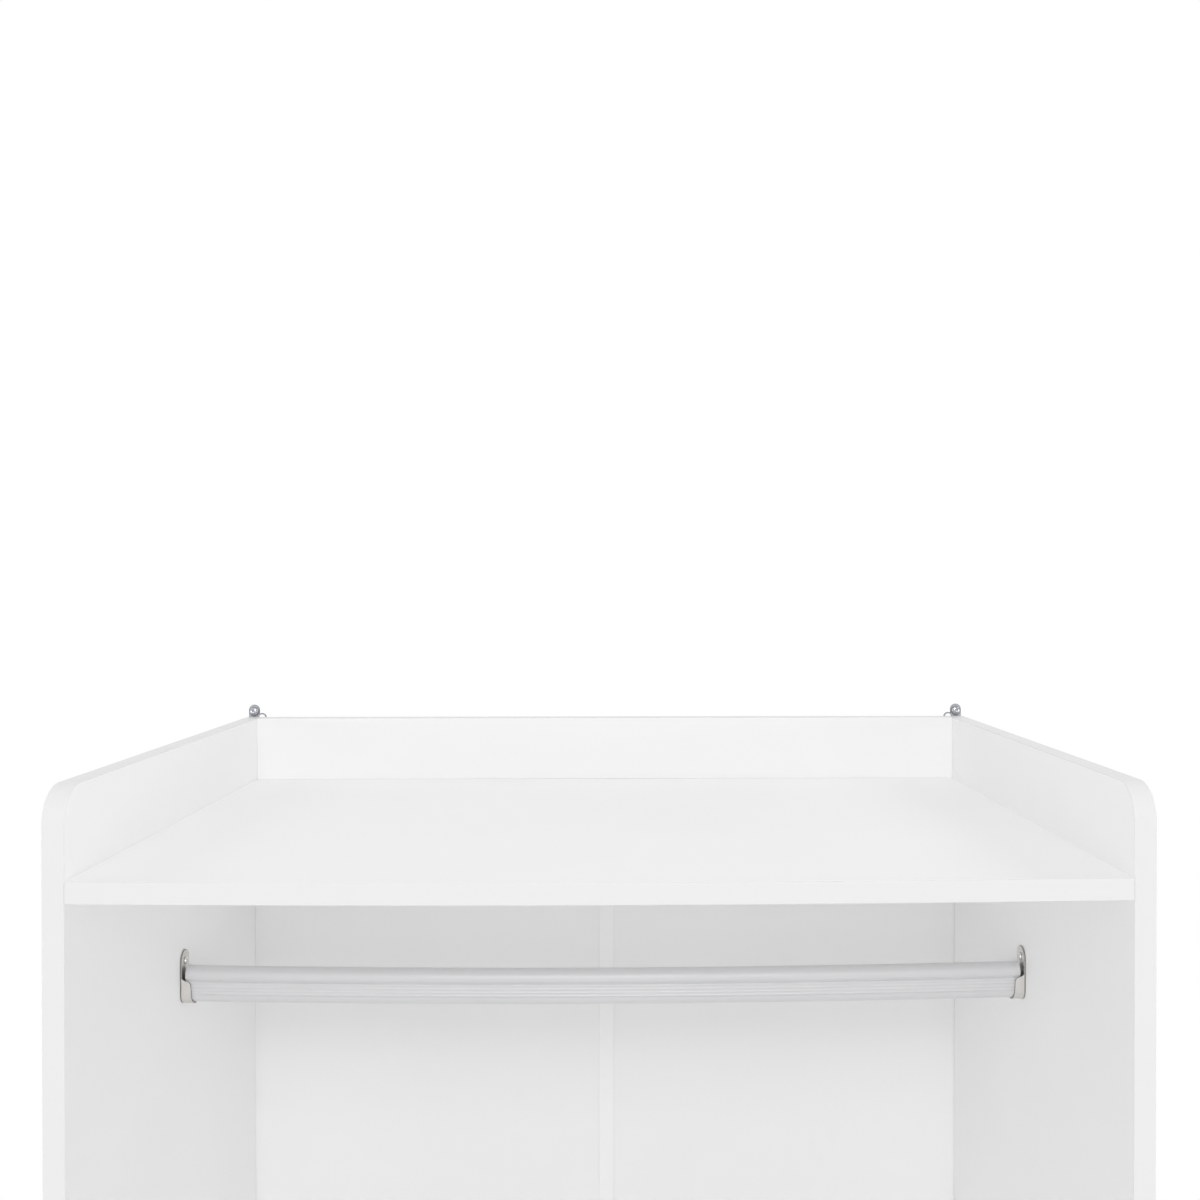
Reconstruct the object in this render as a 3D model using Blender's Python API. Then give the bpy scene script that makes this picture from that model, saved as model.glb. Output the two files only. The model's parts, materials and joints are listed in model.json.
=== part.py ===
"""Open wardrobe with a tray top, an oval clothes rail and two drawers under the hanging space.

Metres, +Z up, and the front faces -Y. The origin is on the floor under the centre of the carcass.
Every board, profile, slide member and fastener is its own closed solid. The drawers run on
two-member ball slides, whose ball cages follow at half speed, and the rail lifts out of its cups.
"""

import math

import bmesh
import bpy
from mathutils import Vector

# Cabinet sizes
CARCASS_WIDTH = 0.740
CARCASS_DEPTH = 0.450
CARCASS_HEIGHT = 1.200
BOARD = 0.015
CORNER_RADIUS = 0.025
TRAY_DEPTH = 0.062
ARRIS = 0.0005
PLINTH_HEIGHT = 0.060
PLINTH_SETBACK = 0.030
DRAWER_BAY_HEIGHT = 0.345
GLIDE_HEIGHT = 0.004
GLIDE_RADIUS = 0.007
GLIDE_INSET = 0.040

# Back panels, the grooves that hold them and the strip that joins them
BACK_THICKNESS = 0.003
BACK_SETBACK = 0.020
BACK_GROOVE_DEPTH = 0.007
BACK_TONGUE = 0.006
JOINER_WIDTH = 0.015
JOINER_FLANGE = 0.001
JOINER_WEB = 0.0012

# Clothes rail and its cups
RAIL_WIDTH = 0.015
RAIL_HEIGHT = 0.030
RAIL_WALL = 0.0012
RAIL_DROP = 0.2006
RAIL_SETBACK = 0.222
RAIL_END_GAP = 0.0022
CUP_STEEL = 0.0012
CUP_CLEARANCE = 0.0004
CUP_REACH = 0.0105
CUP_FLARE = 0.0015
CUP_RIM_OVER_RAIL_CENTRE = 0.0064
CUP_RIM_FALL = 0.0022
CUP_CORNER_RADIUS = 0.0046
CUP_SCREW_OVER_RAIL_TOP = 0.0043

# Wall hangers at the rear top corners
HANGER_WIDTH = 0.011
HANGER_STEEL = 0.0015
HANGER_RISE = 0.0125
HANGER_LENGTH = 0.0485
HANGER_BOLT_RISE = 0.0055
HANGER_SCREW_DROP = 0.025
STRAP_EYE_RADIUS = 0.0047
STRAP_EYE_HOLE = 0.0033
STRAP_EYE_OFFSET = 0.0079
STRAP_EYE_DROP = 0.0008

# Connecting screws of the carcass
CONNECTOR_LENGTH = 0.050
CONNECTOR_HEAD_RADIUS = 0.005
CONNECTOR_SHANK_RADIUS = 0.0035
CONNECTOR_CORE_RADIUS = 0.0025
CONNECTOR_HEAD_RIM = 0.0012
CONNECTOR_FRONT_INSET = 0.050
CONNECTOR_REAR_INSET = 0.075
CONNECTOR_CLEARANCE = 0.00035

# Pan-head screws of the fittings
SCREW_HEAD_RADIUS = 0.0033
SCREW_HEAD_HEIGHT = 0.0016
SCREW_SHANK_RADIUS = 0.0016
SCREW_LENGTH = 0.012
HANGER_SCREW_LENGTH = 0.030
BOLT_HEAD_RADIUS = 0.0044
BOLT_HEAD_HEIGHT = 0.0022
BOLT_SHANK_RADIUS = 0.0018
BOLT_TAIL_RADIUS = 0.0028
BOLT_TAIL_HEIGHT = 0.0012

# Drawers
FRONT_GAP = 0.003
DRAWER_BOARD = 0.012
DRAWER_BOX_HEIGHT = 0.120
DRAWER_BOX_RISE = 0.012
DRAWER_BOTTOM = 0.003
DRAWER_BOTTOM_RISE = 0.008
DRAWER_TONGUE = 0.006
DRAWER_GROOVE_DEPTH = 0.0065
GRIP_WIDTH = 0.120
GRIP_DEPTH = 0.025
GRIP_RADIUS = 0.018
GRIP_LIP_RADIUS = 0.006

# Ball slides of the drawers
SLIDE_STEP = 0.050
SLIDE_END_GAP = 0.002
SLIDE_THICKNESS = 0.0127
SLIDE_HEIGHT = 0.035
SLIDE_STEEL = 0.0012
SLIDE_LIP = 0.002
SLIDE_OUTER_DEPTH = 0.0105
SLIDE_TRAVEL_SHARE = 0.75
BALL_DIAMETER = 0.0042
BALLS_PER_ROW = 6
CAGE_STEEL = 0.0006
CAGE_ARM = 0.007
CAGE_END_GAP = 0.025

# Hairlines and running clearances
SEAT_GAP = 0.0003
GROOVE_GAP = 0.0003
HOLE_GAP = 0.00045
RACE_GAP = 0.00035

# How finely round shapes are divided
CORNER_STEPS = 8
HALF_ROUND_STEPS = 12
TURNED_STEPS = 12
BALL_ARC_STEPS = 4
BALL_TURN_STEPS = 8

# Planes of the carcass
SIDES = {"left": -1, "right": 1}
HALF_WIDTH = CARCASS_WIDTH / 2
HALF_INNER = HALF_WIDTH - BOARD
HALF_SHELF = HALF_INNER - SEAT_GAP
SIDE_MID_X = HALF_WIDTH - BOARD / 2
FRONT_Y = -CARCASS_DEPTH / 2
REAR_Y = CARCASS_DEPTH / 2
SIDE_BOTTOM_Z = GLIDE_HEIGHT + SEAT_GAP
SHELF_TOP_Z = CARCASS_HEIGHT - TRAY_DEPTH
SHELF_Z = SHELF_TOP_Z - BOARD
BAY_FLOOR_Z = PLINTH_HEIGHT + BOARD
BAY_ROOF_Z = BAY_FLOOR_Z + DRAWER_BAY_HEIGHT

# Planes of the back
BACK_REAR_Y = REAR_Y - BACK_SETBACK
BACK_FRONT_Y = BACK_REAR_Y - BACK_THICKNESS
GROOVE_FRONT_Y = BACK_FRONT_Y - GROOVE_GAP
GROOVE_REAR_Y = BACK_REAR_Y + GROOVE_GAP
JOINER_FRONT_Y = GROOVE_FRONT_Y - JOINER_FLANGE
JOINER_REAR_Y = GROOVE_REAR_Y + JOINER_FLANGE
INNER_REAR_Y = JOINER_FRONT_Y - SEAT_GAP

# Places of the rail and its cups
RAIL_Y = FRONT_Y + RAIL_SETBACK
RAIL_Z = CARCASS_HEIGHT - RAIL_DROP
RAIL_ARC_Z = RAIL_Z - RAIL_HEIGHT / 2 + RAIL_WIDTH / 2
CUP_INNER_RADIUS = RAIL_WIDTH / 2 + CUP_CLEARANCE
CUP_OUTER_RADIUS = CUP_INNER_RADIUS + CUP_STEEL
CUP_RIM_Z = RAIL_Z + CUP_RIM_OVER_RAIL_CENTRE
CUP_SCREW_Z = RAIL_Z + RAIL_HEIGHT / 2 + CUP_SCREW_OVER_RAIL_TOP
CUP_FACE_X = HALF_SHELF - CUP_STEEL
RAIL_END_X = CUP_FACE_X - RAIL_END_GAP

# Places of the wall hangers
HANGER_FRONT_Y = REAR_Y + SEAT_GAP
HANGER_REAR_Y = HANGER_FRONT_Y + HANGER_STEEL
HANGER_TOP_Z = CARCASS_HEIGHT + HANGER_RISE

# Places of the drawers and their slides
FRONT_HEIGHT = (DRAWER_BAY_HEIGHT - 3 * FRONT_GAP) / 2
FRONT_BACK_Y = FRONT_Y + BOARD
SLIDE_FRONT_Y = FRONT_BACK_Y + SLIDE_END_GAP
SLIDE_LENGTH = math.floor((INNER_REAR_Y - SLIDE_FRONT_Y) / SLIDE_STEP + 1e-6) * SLIDE_STEP
SLIDE_REAR_Y = SLIDE_FRONT_Y + SLIDE_LENGTH
SLIDE_TRAVEL = SLIDE_LENGTH * SLIDE_TRAVEL_SHARE
HALF_BOX = HALF_SHELF - SLIDE_THICKNESS - SEAT_GAP
HALF_BOX_INNER = HALF_BOX - DRAWER_BOARD
BALL_RADIUS = BALL_DIAMETER / 2
BALL_ROW_Z = SLIDE_HEIGHT / 2 - SLIDE_STEEL - RACE_GAP - BALL_RADIUS
INNER_MEMBER_HALF = BALL_ROW_Z - BALL_RADIUS - RACE_GAP
CAGE_WEB = SLIDE_STEEL + RACE_GAP
CAGE_LENGTH = SLIDE_LENGTH - SLIDE_TRAVEL / 2 - 2 * CAGE_END_GAP
CAGE_FRONT_Y = SLIDE_FRONT_Y + SLIDE_TRAVEL / 2 + CAGE_END_GAP / 2

# Finishes: colour, roughness and metallic value
WHITE_MELAMINE = ((0.86, 0.86, 0.86), 0.45, 0.0)
WHITE_HARDBOARD = ((0.80, 0.80, 0.81), 0.55, 0.0)
WHITE_PLASTIC = ((0.84, 0.84, 0.85), 0.40, 0.0)
ANODISED_ALUMINIUM = ((0.66, 0.66, 0.69), 0.35, 1.0)
NICKEL_STEEL = ((0.62, 0.60, 0.57), 0.25, 1.0)
ZINC_STEEL = ((0.60, 0.62, 0.64), 0.35, 1.0)


def clear_scene():
    """Removes whatever the scene holds."""
    for obj in list(bpy.data.objects):
        bpy.data.objects.remove(obj)


def material(name, finish):
    """A Principled material of one finish."""
    colour, roughness, metallic = finish
    made = bpy.data.materials.new(name)
    made.use_nodes = True
    shader = made.node_tree.nodes["Principled BSDF"]
    shader.inputs["Base Color"].default_value = (*colour, 1.0)
    shader.inputs["Roughness"].default_value = roughness
    shader.inputs["Metallic"].default_value = metallic
    made.diffuse_color = (*colour, 1.0)
    return made


def mesh_of(name, bm, origin):
    """The bmesh as a mesh around the origin, its faces pointing out and its round sides smooth."""
    bmesh.ops.recalc_face_normals(bm, faces=bm.faces)
    bmesh.ops.translate(bm, verts=bm.verts, vec=-origin)
    mesh = bpy.data.meshes.new(name)
    bm.to_mesh(mesh)
    bm.free()
    mesh.shade_smooth()
    mesh.set_sharp_from_angle(angle=math.radians(32))
    return mesh


def piece(name, bm, finish, origin, parent=None):
    """A sub-part of the object, with its origin at a point of the world."""
    origin = Vector(origin)
    obj = bpy.data.objects.new(name, mesh_of(name, bm, origin))
    obj.data.materials.append(material(name, finish))
    obj.location = origin
    if parent:
        obj.parent = parent
        obj.location = origin - parent.location
    bpy.context.scene.collection.objects.link(obj)
    return obj


def helper(name, bm):
    """A closed shape that only cuts, joins or trims a sub-part."""
    obj = bpy.data.objects.new(name, mesh_of(name, bm, Vector((0, 0, 0))))
    obj.hide_render = True
    obj.display_type = "WIRE"
    bpy.context.scene.collection.objects.link(obj)
    return obj


def axis_empty(name, location):
    """An empty on a joint's line, which carries the pieces that move along it."""
    empty = bpy.data.objects.new(name, None)
    empty.location = location
    bpy.context.scene.collection.objects.link(empty)
    return empty


def combine(target, other, operation):
    """Cuts, joins or trims the target with another closed shape."""
    modifier = target.modifiers.new(f"{operation.lower()} {other.name}", "BOOLEAN")
    modifier.operation = operation
    modifier.solver = "EXACT"
    modifier.object = other


def break_arrises(obj):
    """Takes the sharpness off a board's edges, but not off the facets of its round corners."""
    modifier = obj.modifiers.new("arris", "BEVEL")
    modifier.width = ARRIS
    modifier.segments = 1
    modifier.limit_method = "ANGLE"
    modifier.angle_limit = math.radians(32)


def add_prism(bm, outline, axis, start, end):
    """Adds an outline extruded along an axis. Its points are the two other coordinates, in XYZ order."""
    points = []
    for a, b in outline:
        point = [a, b]
        point.insert("XYZ".index(axis), start)
        points.append(bm.verts.new(point))
    face = bm.faces.new(points)
    grown = bmesh.ops.extrude_face_region(bm, geom=[face])["geom"]
    step = Vector((0, 0, 0))
    step["XYZ".index(axis)] = end - start
    bmesh.ops.translate(
        bm, verts=[g for g in grown if isinstance(g, bmesh.types.BMVert)], vec=step
    )


def add_box(bm, low, high):
    """Adds a box between two corners."""
    outline = [(low[0], low[1]), (high[0], low[1]), (high[0], high[1]), (low[0], high[1])]
    add_prism(bm, outline, "Z", low[2], high[2])


def add_turned(bm, profile, start, direction, steps=TURNED_STEPS):
    """Adds a turned shape. Its profile runs from axis to axis, as distance along and radius."""
    start = Vector(start)
    direction = Vector(direction)
    outward = Vector((0, 0, 1)) if direction.z == 0 else Vector((1, 0, 0))
    verts = [bm.verts.new(start + direction * s + outward * r) for s, r in profile]
    edges = [bm.edges.new(pair) for pair in zip(verts, verts[1:])]
    bmesh.ops.spin(
        bm,
        geom=verts + edges,
        cent=start,
        axis=direction,
        angle=2 * math.pi,
        steps=steps,
        use_merge=True,
    )
    bmesh.ops.remove_doubles(bm, verts=bm.verts, dist=1e-6)


def arc(centre, radius, from_angle, to_angle, steps):
    """Points on an arc, both ends included, with its angles in degrees."""
    angles = [from_angle + (to_angle - from_angle) * i / steps for i in range(steps + 1)]
    return [
        (
            centre[0] + radius * math.cos(math.radians(a)),
            centre[1] + radius * math.sin(math.radians(a)),
        )
        for a in angles
    ]


def upright_stadium(x, low, high, radius):
    """Outline with parallel sides and round ends, between a lowest and a highest point."""
    top = arc((x, high - radius), radius, 0, 180, HALF_ROUND_STEPS)
    bottom = arc((x, low + radius), radius, 180, 360, HALF_ROUND_STEPS)
    return top + bottom


def board(name, low, high, parent=None):
    """A plain white board between two corners."""
    bm = bmesh.new()
    add_box(bm, low, high)
    obj = piece(name, bm, WHITE_MELAMINE, (Vector(low) + Vector(high)) / 2, parent)
    break_arrises(obj)
    return obj


def pan_screw_profile(head_radius, head_height, shank_radius, length):
    """Profile of a pan-head screw from the top of its head to its tip, seated at distance 0."""
    return [
        (-head_height, 0),
        (-head_height, head_radius * 0.6),
        (-head_height * 0.45, head_radius),
        (0, head_radius),
        (0, shank_radius),
        (length - 2 * shank_radius, shank_radius),
        (length, 0),
    ]


def hole_profile(radius, start, end):
    """Profile of a plain round hole that runs between two distances."""
    radius += HOLE_GAP
    return [(start, 0), (start, radius), (end, radius), (end, 0)]


def connector_profile():
    """Profile of a connecting screw, from the outer face of a side panel inwards."""
    cone = CONNECTOR_HEAD_RADIUS - CONNECTOR_SHANK_RADIUS
    rim_end = SEAT_GAP + CONNECTOR_HEAD_RIM
    return [
        (SEAT_GAP, 0),
        (SEAT_GAP, CONNECTOR_HEAD_RADIUS),
        (rim_end, CONNECTOR_HEAD_RADIUS),
        (rim_end + cone, CONNECTOR_SHANK_RADIUS),
        (BOARD, CONNECTOR_SHANK_RADIUS),
        (BOARD, CONNECTOR_CORE_RADIUS),
        (CONNECTOR_LENGTH - CONNECTOR_CORE_RADIUS, CONNECTOR_CORE_RADIUS),
        (CONNECTOR_LENGTH, 0),
    ]


def connector_places():
    """Distance back and height of each connecting screw, under the names of the boards it holds."""
    rows = {
        "bottom_panel": PLINTH_HEIGHT + BOARD / 2,
        "bay_top": BAY_ROOF_Z + BOARD / 2,
        "top_shelf": SHELF_Z + BOARD / 2,
    }
    columns = {
        "front": FRONT_Y + CONNECTOR_FRONT_INSET,
        "rear": BACK_FRONT_Y - CONNECTOR_REAR_INSET,
    }
    return {
        (held, column): (y, z) for held, z in rows.items() for column, y in columns.items()
    }


def add_connector_hole(bm, sign, y, z):
    """Adds the stepped hole of a connecting screw through the side and into the board's end."""
    gap = CONNECTOR_CLEARANCE
    cone = CONNECTOR_HEAD_RADIUS - CONNECTOR_SHANK_RADIUS
    rim_end = SEAT_GAP + CONNECTOR_HEAD_RIM + gap
    add_turned(
        bm,
        [
            (-BOARD, 0),
            (-BOARD, CONNECTOR_HEAD_RADIUS + gap),
            (rim_end, CONNECTOR_HEAD_RADIUS + gap),
            (rim_end + cone, CONNECTOR_SHANK_RADIUS + gap),
            (BOARD + SEAT_GAP / 2, CONNECTOR_SHANK_RADIUS + gap),
            (BOARD + SEAT_GAP / 2, CONNECTOR_CORE_RADIUS + gap),
            (CONNECTOR_LENGTH + gap, CONNECTOR_CORE_RADIUS + gap),
            (CONNECTOR_LENGTH + gap, 0),
        ],
        (sign * HALF_WIDTH, y, z),
        (-sign, 0, 0),
    )


def side_outline():
    """Outline of a side panel in YZ, with its top front corner rounded."""
    corner = arc(
        (FRONT_Y + CORNER_RADIUS, CARCASS_HEIGHT - CORNER_RADIUS),
        CORNER_RADIUS,
        90,
        180,
        CORNER_STEPS,
    )
    return [(FRONT_Y, SIDE_BOTTOM_Z), (REAR_Y, SIDE_BOTTOM_Z), (REAR_Y, CARCASS_HEIGHT)] + corner


def make_side_panel(side):
    """A side panel with its back groove and the holes of every screw that enters it."""
    sign = SIDES[side]
    bm = bmesh.new()
    add_prism(bm, side_outline(), "X", sign * HALF_INNER, sign * HALF_WIDTH)
    centre = (sign * SIDE_MID_X, 0, (SIDE_BOTTOM_Z + CARCASS_HEIGHT) / 2)
    panel = piece(f"side_panel_{side}", bm, WHITE_MELAMINE, centre)
    break_arrises(panel)
    cuts = bmesh.new()
    groove_x = sorted((sign * (HALF_INNER - BOARD), sign * (HALF_INNER + BACK_GROOVE_DEPTH)))
    add_box(
        cuts,
        (groove_x[0], GROOVE_FRONT_Y, SIDE_BOTTOM_Z - BOARD),
        (groove_x[1], GROOVE_REAR_Y, SHELF_Z + BACK_GROOVE_DEPTH),
    )
    for y, z in connector_places().values():
        add_connector_hole(cuts, sign, y, z)
    add_turned(
        cuts,
        hole_profile(SCREW_SHANK_RADIUS, -BOARD, SCREW_LENGTH),
        (sign * HALF_INNER, RAIL_Y, CUP_SCREW_Z),
        (sign, 0, 0),
    )
    add_turned(
        cuts,
        hole_profile(SCREW_SHANK_RADIUS, -BOARD, HANGER_SCREW_LENGTH),
        (sign * SIDE_MID_X, REAR_Y, CARCASS_HEIGHT - HANGER_SCREW_DROP),
        (0, -1, 0),
    )
    combine(panel, helper(f"side_cuts_{side}", cuts), "DIFFERENCE")


def make_cross_board(name, low_z, rear_y, grooved):
    """A board between the side panels, screwed through them at both ends."""
    shelf = board(name, (-HALF_SHELF, FRONT_Y, low_z), (HALF_SHELF, rear_y, low_z + BOARD))
    cuts = bmesh.new()
    for (held, _), (y, z) in connector_places().items():
        if held == name:
            for sign in SIDES.values():
                add_connector_hole(cuts, sign, y, z)
    if grooved:
        add_box(
            cuts,
            (-HALF_WIDTH, GROOVE_FRONT_Y, low_z - BOARD),
            (HALF_WIDTH, GROOVE_REAR_Y, low_z + BACK_GROOVE_DEPTH),
        )
    combine(shelf, helper(f"{name}_cuts", cuts), "DIFFERENCE")


def make_connectors():
    """The connecting screws, driven from the outer faces of the side panels."""
    for side, sign in SIDES.items():
        for (held, column), (y, z) in connector_places().items():
            bm = bmesh.new()
            start = (sign * HALF_WIDTH, y, z)
            add_turned(bm, connector_profile(), start, (-sign, 0, 0))
            piece(f"connector_{held}_{column}_{side}", bm, ZINC_STEEL, start)


def make_carcass():
    """The fixed boards, their connecting screws and the floor glides."""
    for side in SIDES:
        make_side_panel(side)
    make_cross_board("top_shelf", SHELF_Z, REAR_Y, grooved=True)
    make_cross_board("bay_top", BAY_ROOF_Z, INNER_REAR_Y, grooved=False)
    make_cross_board("bottom_panel", PLINTH_HEIGHT, INNER_REAR_Y, grooved=False)
    board(
        "tray_rear_rail",
        (-HALF_SHELF, REAR_Y - BOARD, SHELF_TOP_Z + SEAT_GAP),
        (HALF_SHELF, REAR_Y, CARCASS_HEIGHT),
    )
    plinth_y = FRONT_Y + PLINTH_SETBACK
    board(
        "plinth_board",
        (-HALF_SHELF, plinth_y, SIDE_BOTTOM_Z),
        (HALF_SHELF, plinth_y + BOARD, PLINTH_HEIGHT - SEAT_GAP),
    )
    make_connectors()
    make_glides()


def make_glides():
    """Round glides under the front and rear ends of the side panels."""
    chamfer = GLIDE_HEIGHT / 4
    profile = [
        (0, 0),
        (0, GLIDE_RADIUS - chamfer),
        (chamfer, GLIDE_RADIUS),
        (GLIDE_HEIGHT, GLIDE_RADIUS),
        (GLIDE_HEIGHT, 0),
    ]
    columns = {"front": FRONT_Y + GLIDE_INSET, "rear": REAR_Y - GLIDE_INSET}
    for side, sign in SIDES.items():
        for column, y in columns.items():
            bm = bmesh.new()
            add_turned(bm, profile, (sign * SIDE_MID_X, y, 0), (0, 0, 1))
            piece(f"glide_{column}_{side}", bm, WHITE_PLASTIC, (sign * SIDE_MID_X, y, 0))


def make_back():
    """Two thin panels in the grooves, and the H-shaped strip that joins them at the middle."""
    inner_x = JOINER_WEB / 2 + SEAT_GAP
    outer_x = HALF_INNER + BACK_TONGUE
    for side, sign in SIDES.items():
        x = sorted((sign * inner_x, sign * outer_x))
        low = Vector((x[0], BACK_FRONT_Y, PLINTH_HEIGHT))
        high = Vector((x[1], BACK_REAR_Y, SHELF_Z + BACK_TONGUE))
        bm = bmesh.new()
        add_box(bm, low, high)
        piece(f"back_panel_{side}", bm, WHITE_HARDBOARD, (low + high) / 2)
    half = JOINER_WIDTH / 2
    web = JOINER_WEB / 2
    right = [
        (half, JOINER_FRONT_Y),
        (half, GROOVE_FRONT_Y),
        (web, GROOVE_FRONT_Y),
        (web, GROOVE_REAR_Y),
        (half, GROOVE_REAR_Y),
        (half, JOINER_REAR_Y),
    ]
    left = [(-x, y) for x, y in reversed(right)]
    bm = bmesh.new()
    add_prism(bm, right + left, "Z", PLINTH_HEIGHT, SHELF_Z - SEAT_GAP)
    centre = (0, (BACK_FRONT_Y + BACK_REAR_Y) / 2, (PLINTH_HEIGHT + SHELF_Z) / 2)
    piece("back_joiner_strip", bm, WHITE_PLASTIC, centre)


def make_rail():
    """The oval tube, open at both ends, on the line along which it lifts out of its cups."""
    lift = axis_empty("rail_lift_axis", (0, RAIL_Y, RAIL_Z))
    low = RAIL_Z - RAIL_HEIGHT / 2
    high = RAIL_Z + RAIL_HEIGHT / 2
    bm = bmesh.new()
    outside = upright_stadium(RAIL_Y, low, high, RAIL_WIDTH / 2)
    add_prism(bm, outside, "X", -RAIL_END_X, RAIL_END_X)
    rail = piece("clothes_rail", bm, ANODISED_ALUMINIUM, (0, RAIL_Y, RAIL_Z), lift)
    cuts = bmesh.new()
    inside = upright_stadium(
        RAIL_Y, low + RAIL_WALL, high - RAIL_WALL, RAIL_WIDTH / 2 - RAIL_WALL
    )
    add_prism(cuts, inside, "X", -HALF_WIDTH, HALF_WIDTH)
    combine(rail, helper("rail_bore", cuts), "DIFFERENCE")


def cup_section():
    """U-shaped section of a cup in YZ, open at the top."""
    top_z = RAIL_Z + RAIL_HEIGHT
    outer = arc((RAIL_Y, RAIL_ARC_Z), CUP_OUTER_RADIUS, 180, 360, HALF_ROUND_STEPS)
    inner = arc((RAIL_Y, RAIL_ARC_Z), CUP_INNER_RADIUS, 360, 180, HALF_ROUND_STEPS)
    return (
        [(RAIL_Y - CUP_OUTER_RADIUS, top_z)]
        + outer
        + [(RAIL_Y + CUP_OUTER_RADIUS, top_z), (RAIL_Y + CUP_INNER_RADIUS, top_z)]
        + inner
        + [(RAIL_Y - CUP_INNER_RADIUS, top_z)]
    )


def cup_wall_outline(sign):
    """Outline of a cup's wall in XZ: a falling rim, a rounded corner and a flared edge."""
    corner_x = HALF_SHELF - CUP_REACH + CUP_FLARE
    bottom_z = RAIL_ARC_Z - 2 * CUP_OUTER_RADIUS
    corner_z = CUP_RIM_Z - CUP_RIM_FALL
    rounding = arc(
        (corner_x + CUP_CORNER_RADIUS, corner_z - CUP_CORNER_RADIUS),
        CUP_CORNER_RADIUS,
        90,
        180,
        CORNER_STEPS,
    )
    points = (
        [(HALF_WIDTH, CUP_RIM_Z), (HALF_SHELF, CUP_RIM_Z)]
        + rounding
        + [(HALF_SHELF - CUP_REACH, bottom_z), (HALF_WIDTH, bottom_z)]
    )
    return [(sign * x, z) for x, z in points]


def make_rail_cup(side):
    """A pressed cup with its screw ear, and the screw that holds it to the side panel."""
    sign = SIDES[side]
    bm = bmesh.new()
    plate_mid_x = HALF_SHELF - CUP_STEEL / 2
    reach_x = HALF_SHELF - 2 * CUP_REACH
    add_prism(bm, cup_section(), "X", sign * plate_mid_x, sign * reach_x)
    centre = (sign * HALF_SHELF, RAIL_Y, RAIL_Z)
    cup = piece(f"rail_cup_{side}", bm, NICKEL_STEEL, centre)
    trim = bmesh.new()
    outline = cup_wall_outline(sign)
    add_prism(trim, outline, "Y", RAIL_Y - 2 * CUP_OUTER_RADIUS, RAIL_Y + 2 * CUP_OUTER_RADIUS)
    combine(cup, helper(f"cup_trim_{side}", trim), "INTERSECT")
    plate = bmesh.new()
    outline = upright_stadium(
        RAIL_Y,
        RAIL_ARC_Z - CUP_OUTER_RADIUS,
        CUP_SCREW_Z + CUP_OUTER_RADIUS,
        CUP_OUTER_RADIUS,
    )
    add_prism(plate, outline, "X", sign * CUP_FACE_X, sign * HALF_SHELF)
    combine(cup, helper(f"cup_plate_{side}", plate), "UNION")
    hole = bmesh.new()
    seat = (sign * (CUP_FACE_X - SEAT_GAP), RAIL_Y, CUP_SCREW_Z)
    add_turned(
        hole, hole_profile(SCREW_SHANK_RADIUS, -CUP_REACH, CUP_REACH), seat, (sign, 0, 0)
    )
    combine(cup, helper(f"cup_hole_{side}", hole), "DIFFERENCE")
    screw = bmesh.new()
    profile = pan_screw_profile(
        SCREW_HEAD_RADIUS, SCREW_HEAD_HEIGHT, SCREW_SHANK_RADIUS, SCREW_LENGTH
    )
    add_turned(screw, profile, seat, (sign, 0, 0))
    piece(f"rail_cup_screw_{side}", screw, NICKEL_STEEL, seat)


def make_wall_hanger(side):
    """A pressed plate on the rear edge of a side panel, with its strap eye, bolt and screw."""
    sign = SIDES[side]
    x = sign * SIDE_MID_X
    eye = (sign * (SIDE_MID_X - STRAP_EYE_OFFSET), CARCASS_HEIGHT - STRAP_EYE_DROP)
    bolt_z = CARCASS_HEIGHT + HANGER_BOLT_RISE
    screw_z = CARCASS_HEIGHT - HANGER_SCREW_DROP
    bm = bmesh.new()
    outline = upright_stadium(x, HANGER_TOP_Z - HANGER_LENGTH, HANGER_TOP_Z, HANGER_WIDTH / 2)
    add_prism(bm, outline, "Y", HANGER_FRONT_Y, HANGER_REAR_Y)
    centre = (x, HANGER_FRONT_Y, CARCASS_HEIGHT)
    hanger = piece(f"wall_hanger_{side}", bm, ZINC_STEEL, centre)
    lug = bmesh.new()
    round_lug = arc(eye, STRAP_EYE_RADIUS, 0, 345, 2 * HALF_ROUND_STEPS - 1)
    add_prism(lug, round_lug, "Y", HANGER_FRONT_Y, HANGER_REAR_Y)
    combine(hanger, helper(f"hanger_lug_{side}", lug), "UNION")
    holes = bmesh.new()
    through = (-BOARD, BOARD)
    for (hole_x, hole_z), radius in (
        (eye, STRAP_EYE_HOLE - HOLE_GAP),
        ((x, bolt_z), BOLT_SHANK_RADIUS),
        ((x, screw_z), SCREW_SHANK_RADIUS),
    ):
        start = (hole_x, HANGER_FRONT_Y, hole_z)
        add_turned(holes, hole_profile(radius, *through), start, (0, 1, 0))
    combine(hanger, helper(f"hanger_holes_{side}", holes), "DIFFERENCE")
    make_hanger_bolt(side, x, bolt_z)
    screw = bmesh.new()
    seat = (x, HANGER_REAR_Y + SEAT_GAP, screw_z)
    profile = pan_screw_profile(
        SCREW_HEAD_RADIUS, SCREW_HEAD_HEIGHT, SCREW_SHANK_RADIUS, HANGER_SCREW_LENGTH
    )
    add_turned(screw, profile, seat, (0, -1, 0))
    piece(f"wall_hanger_screw_{side}", screw, ZINC_STEEL, seat)


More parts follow.
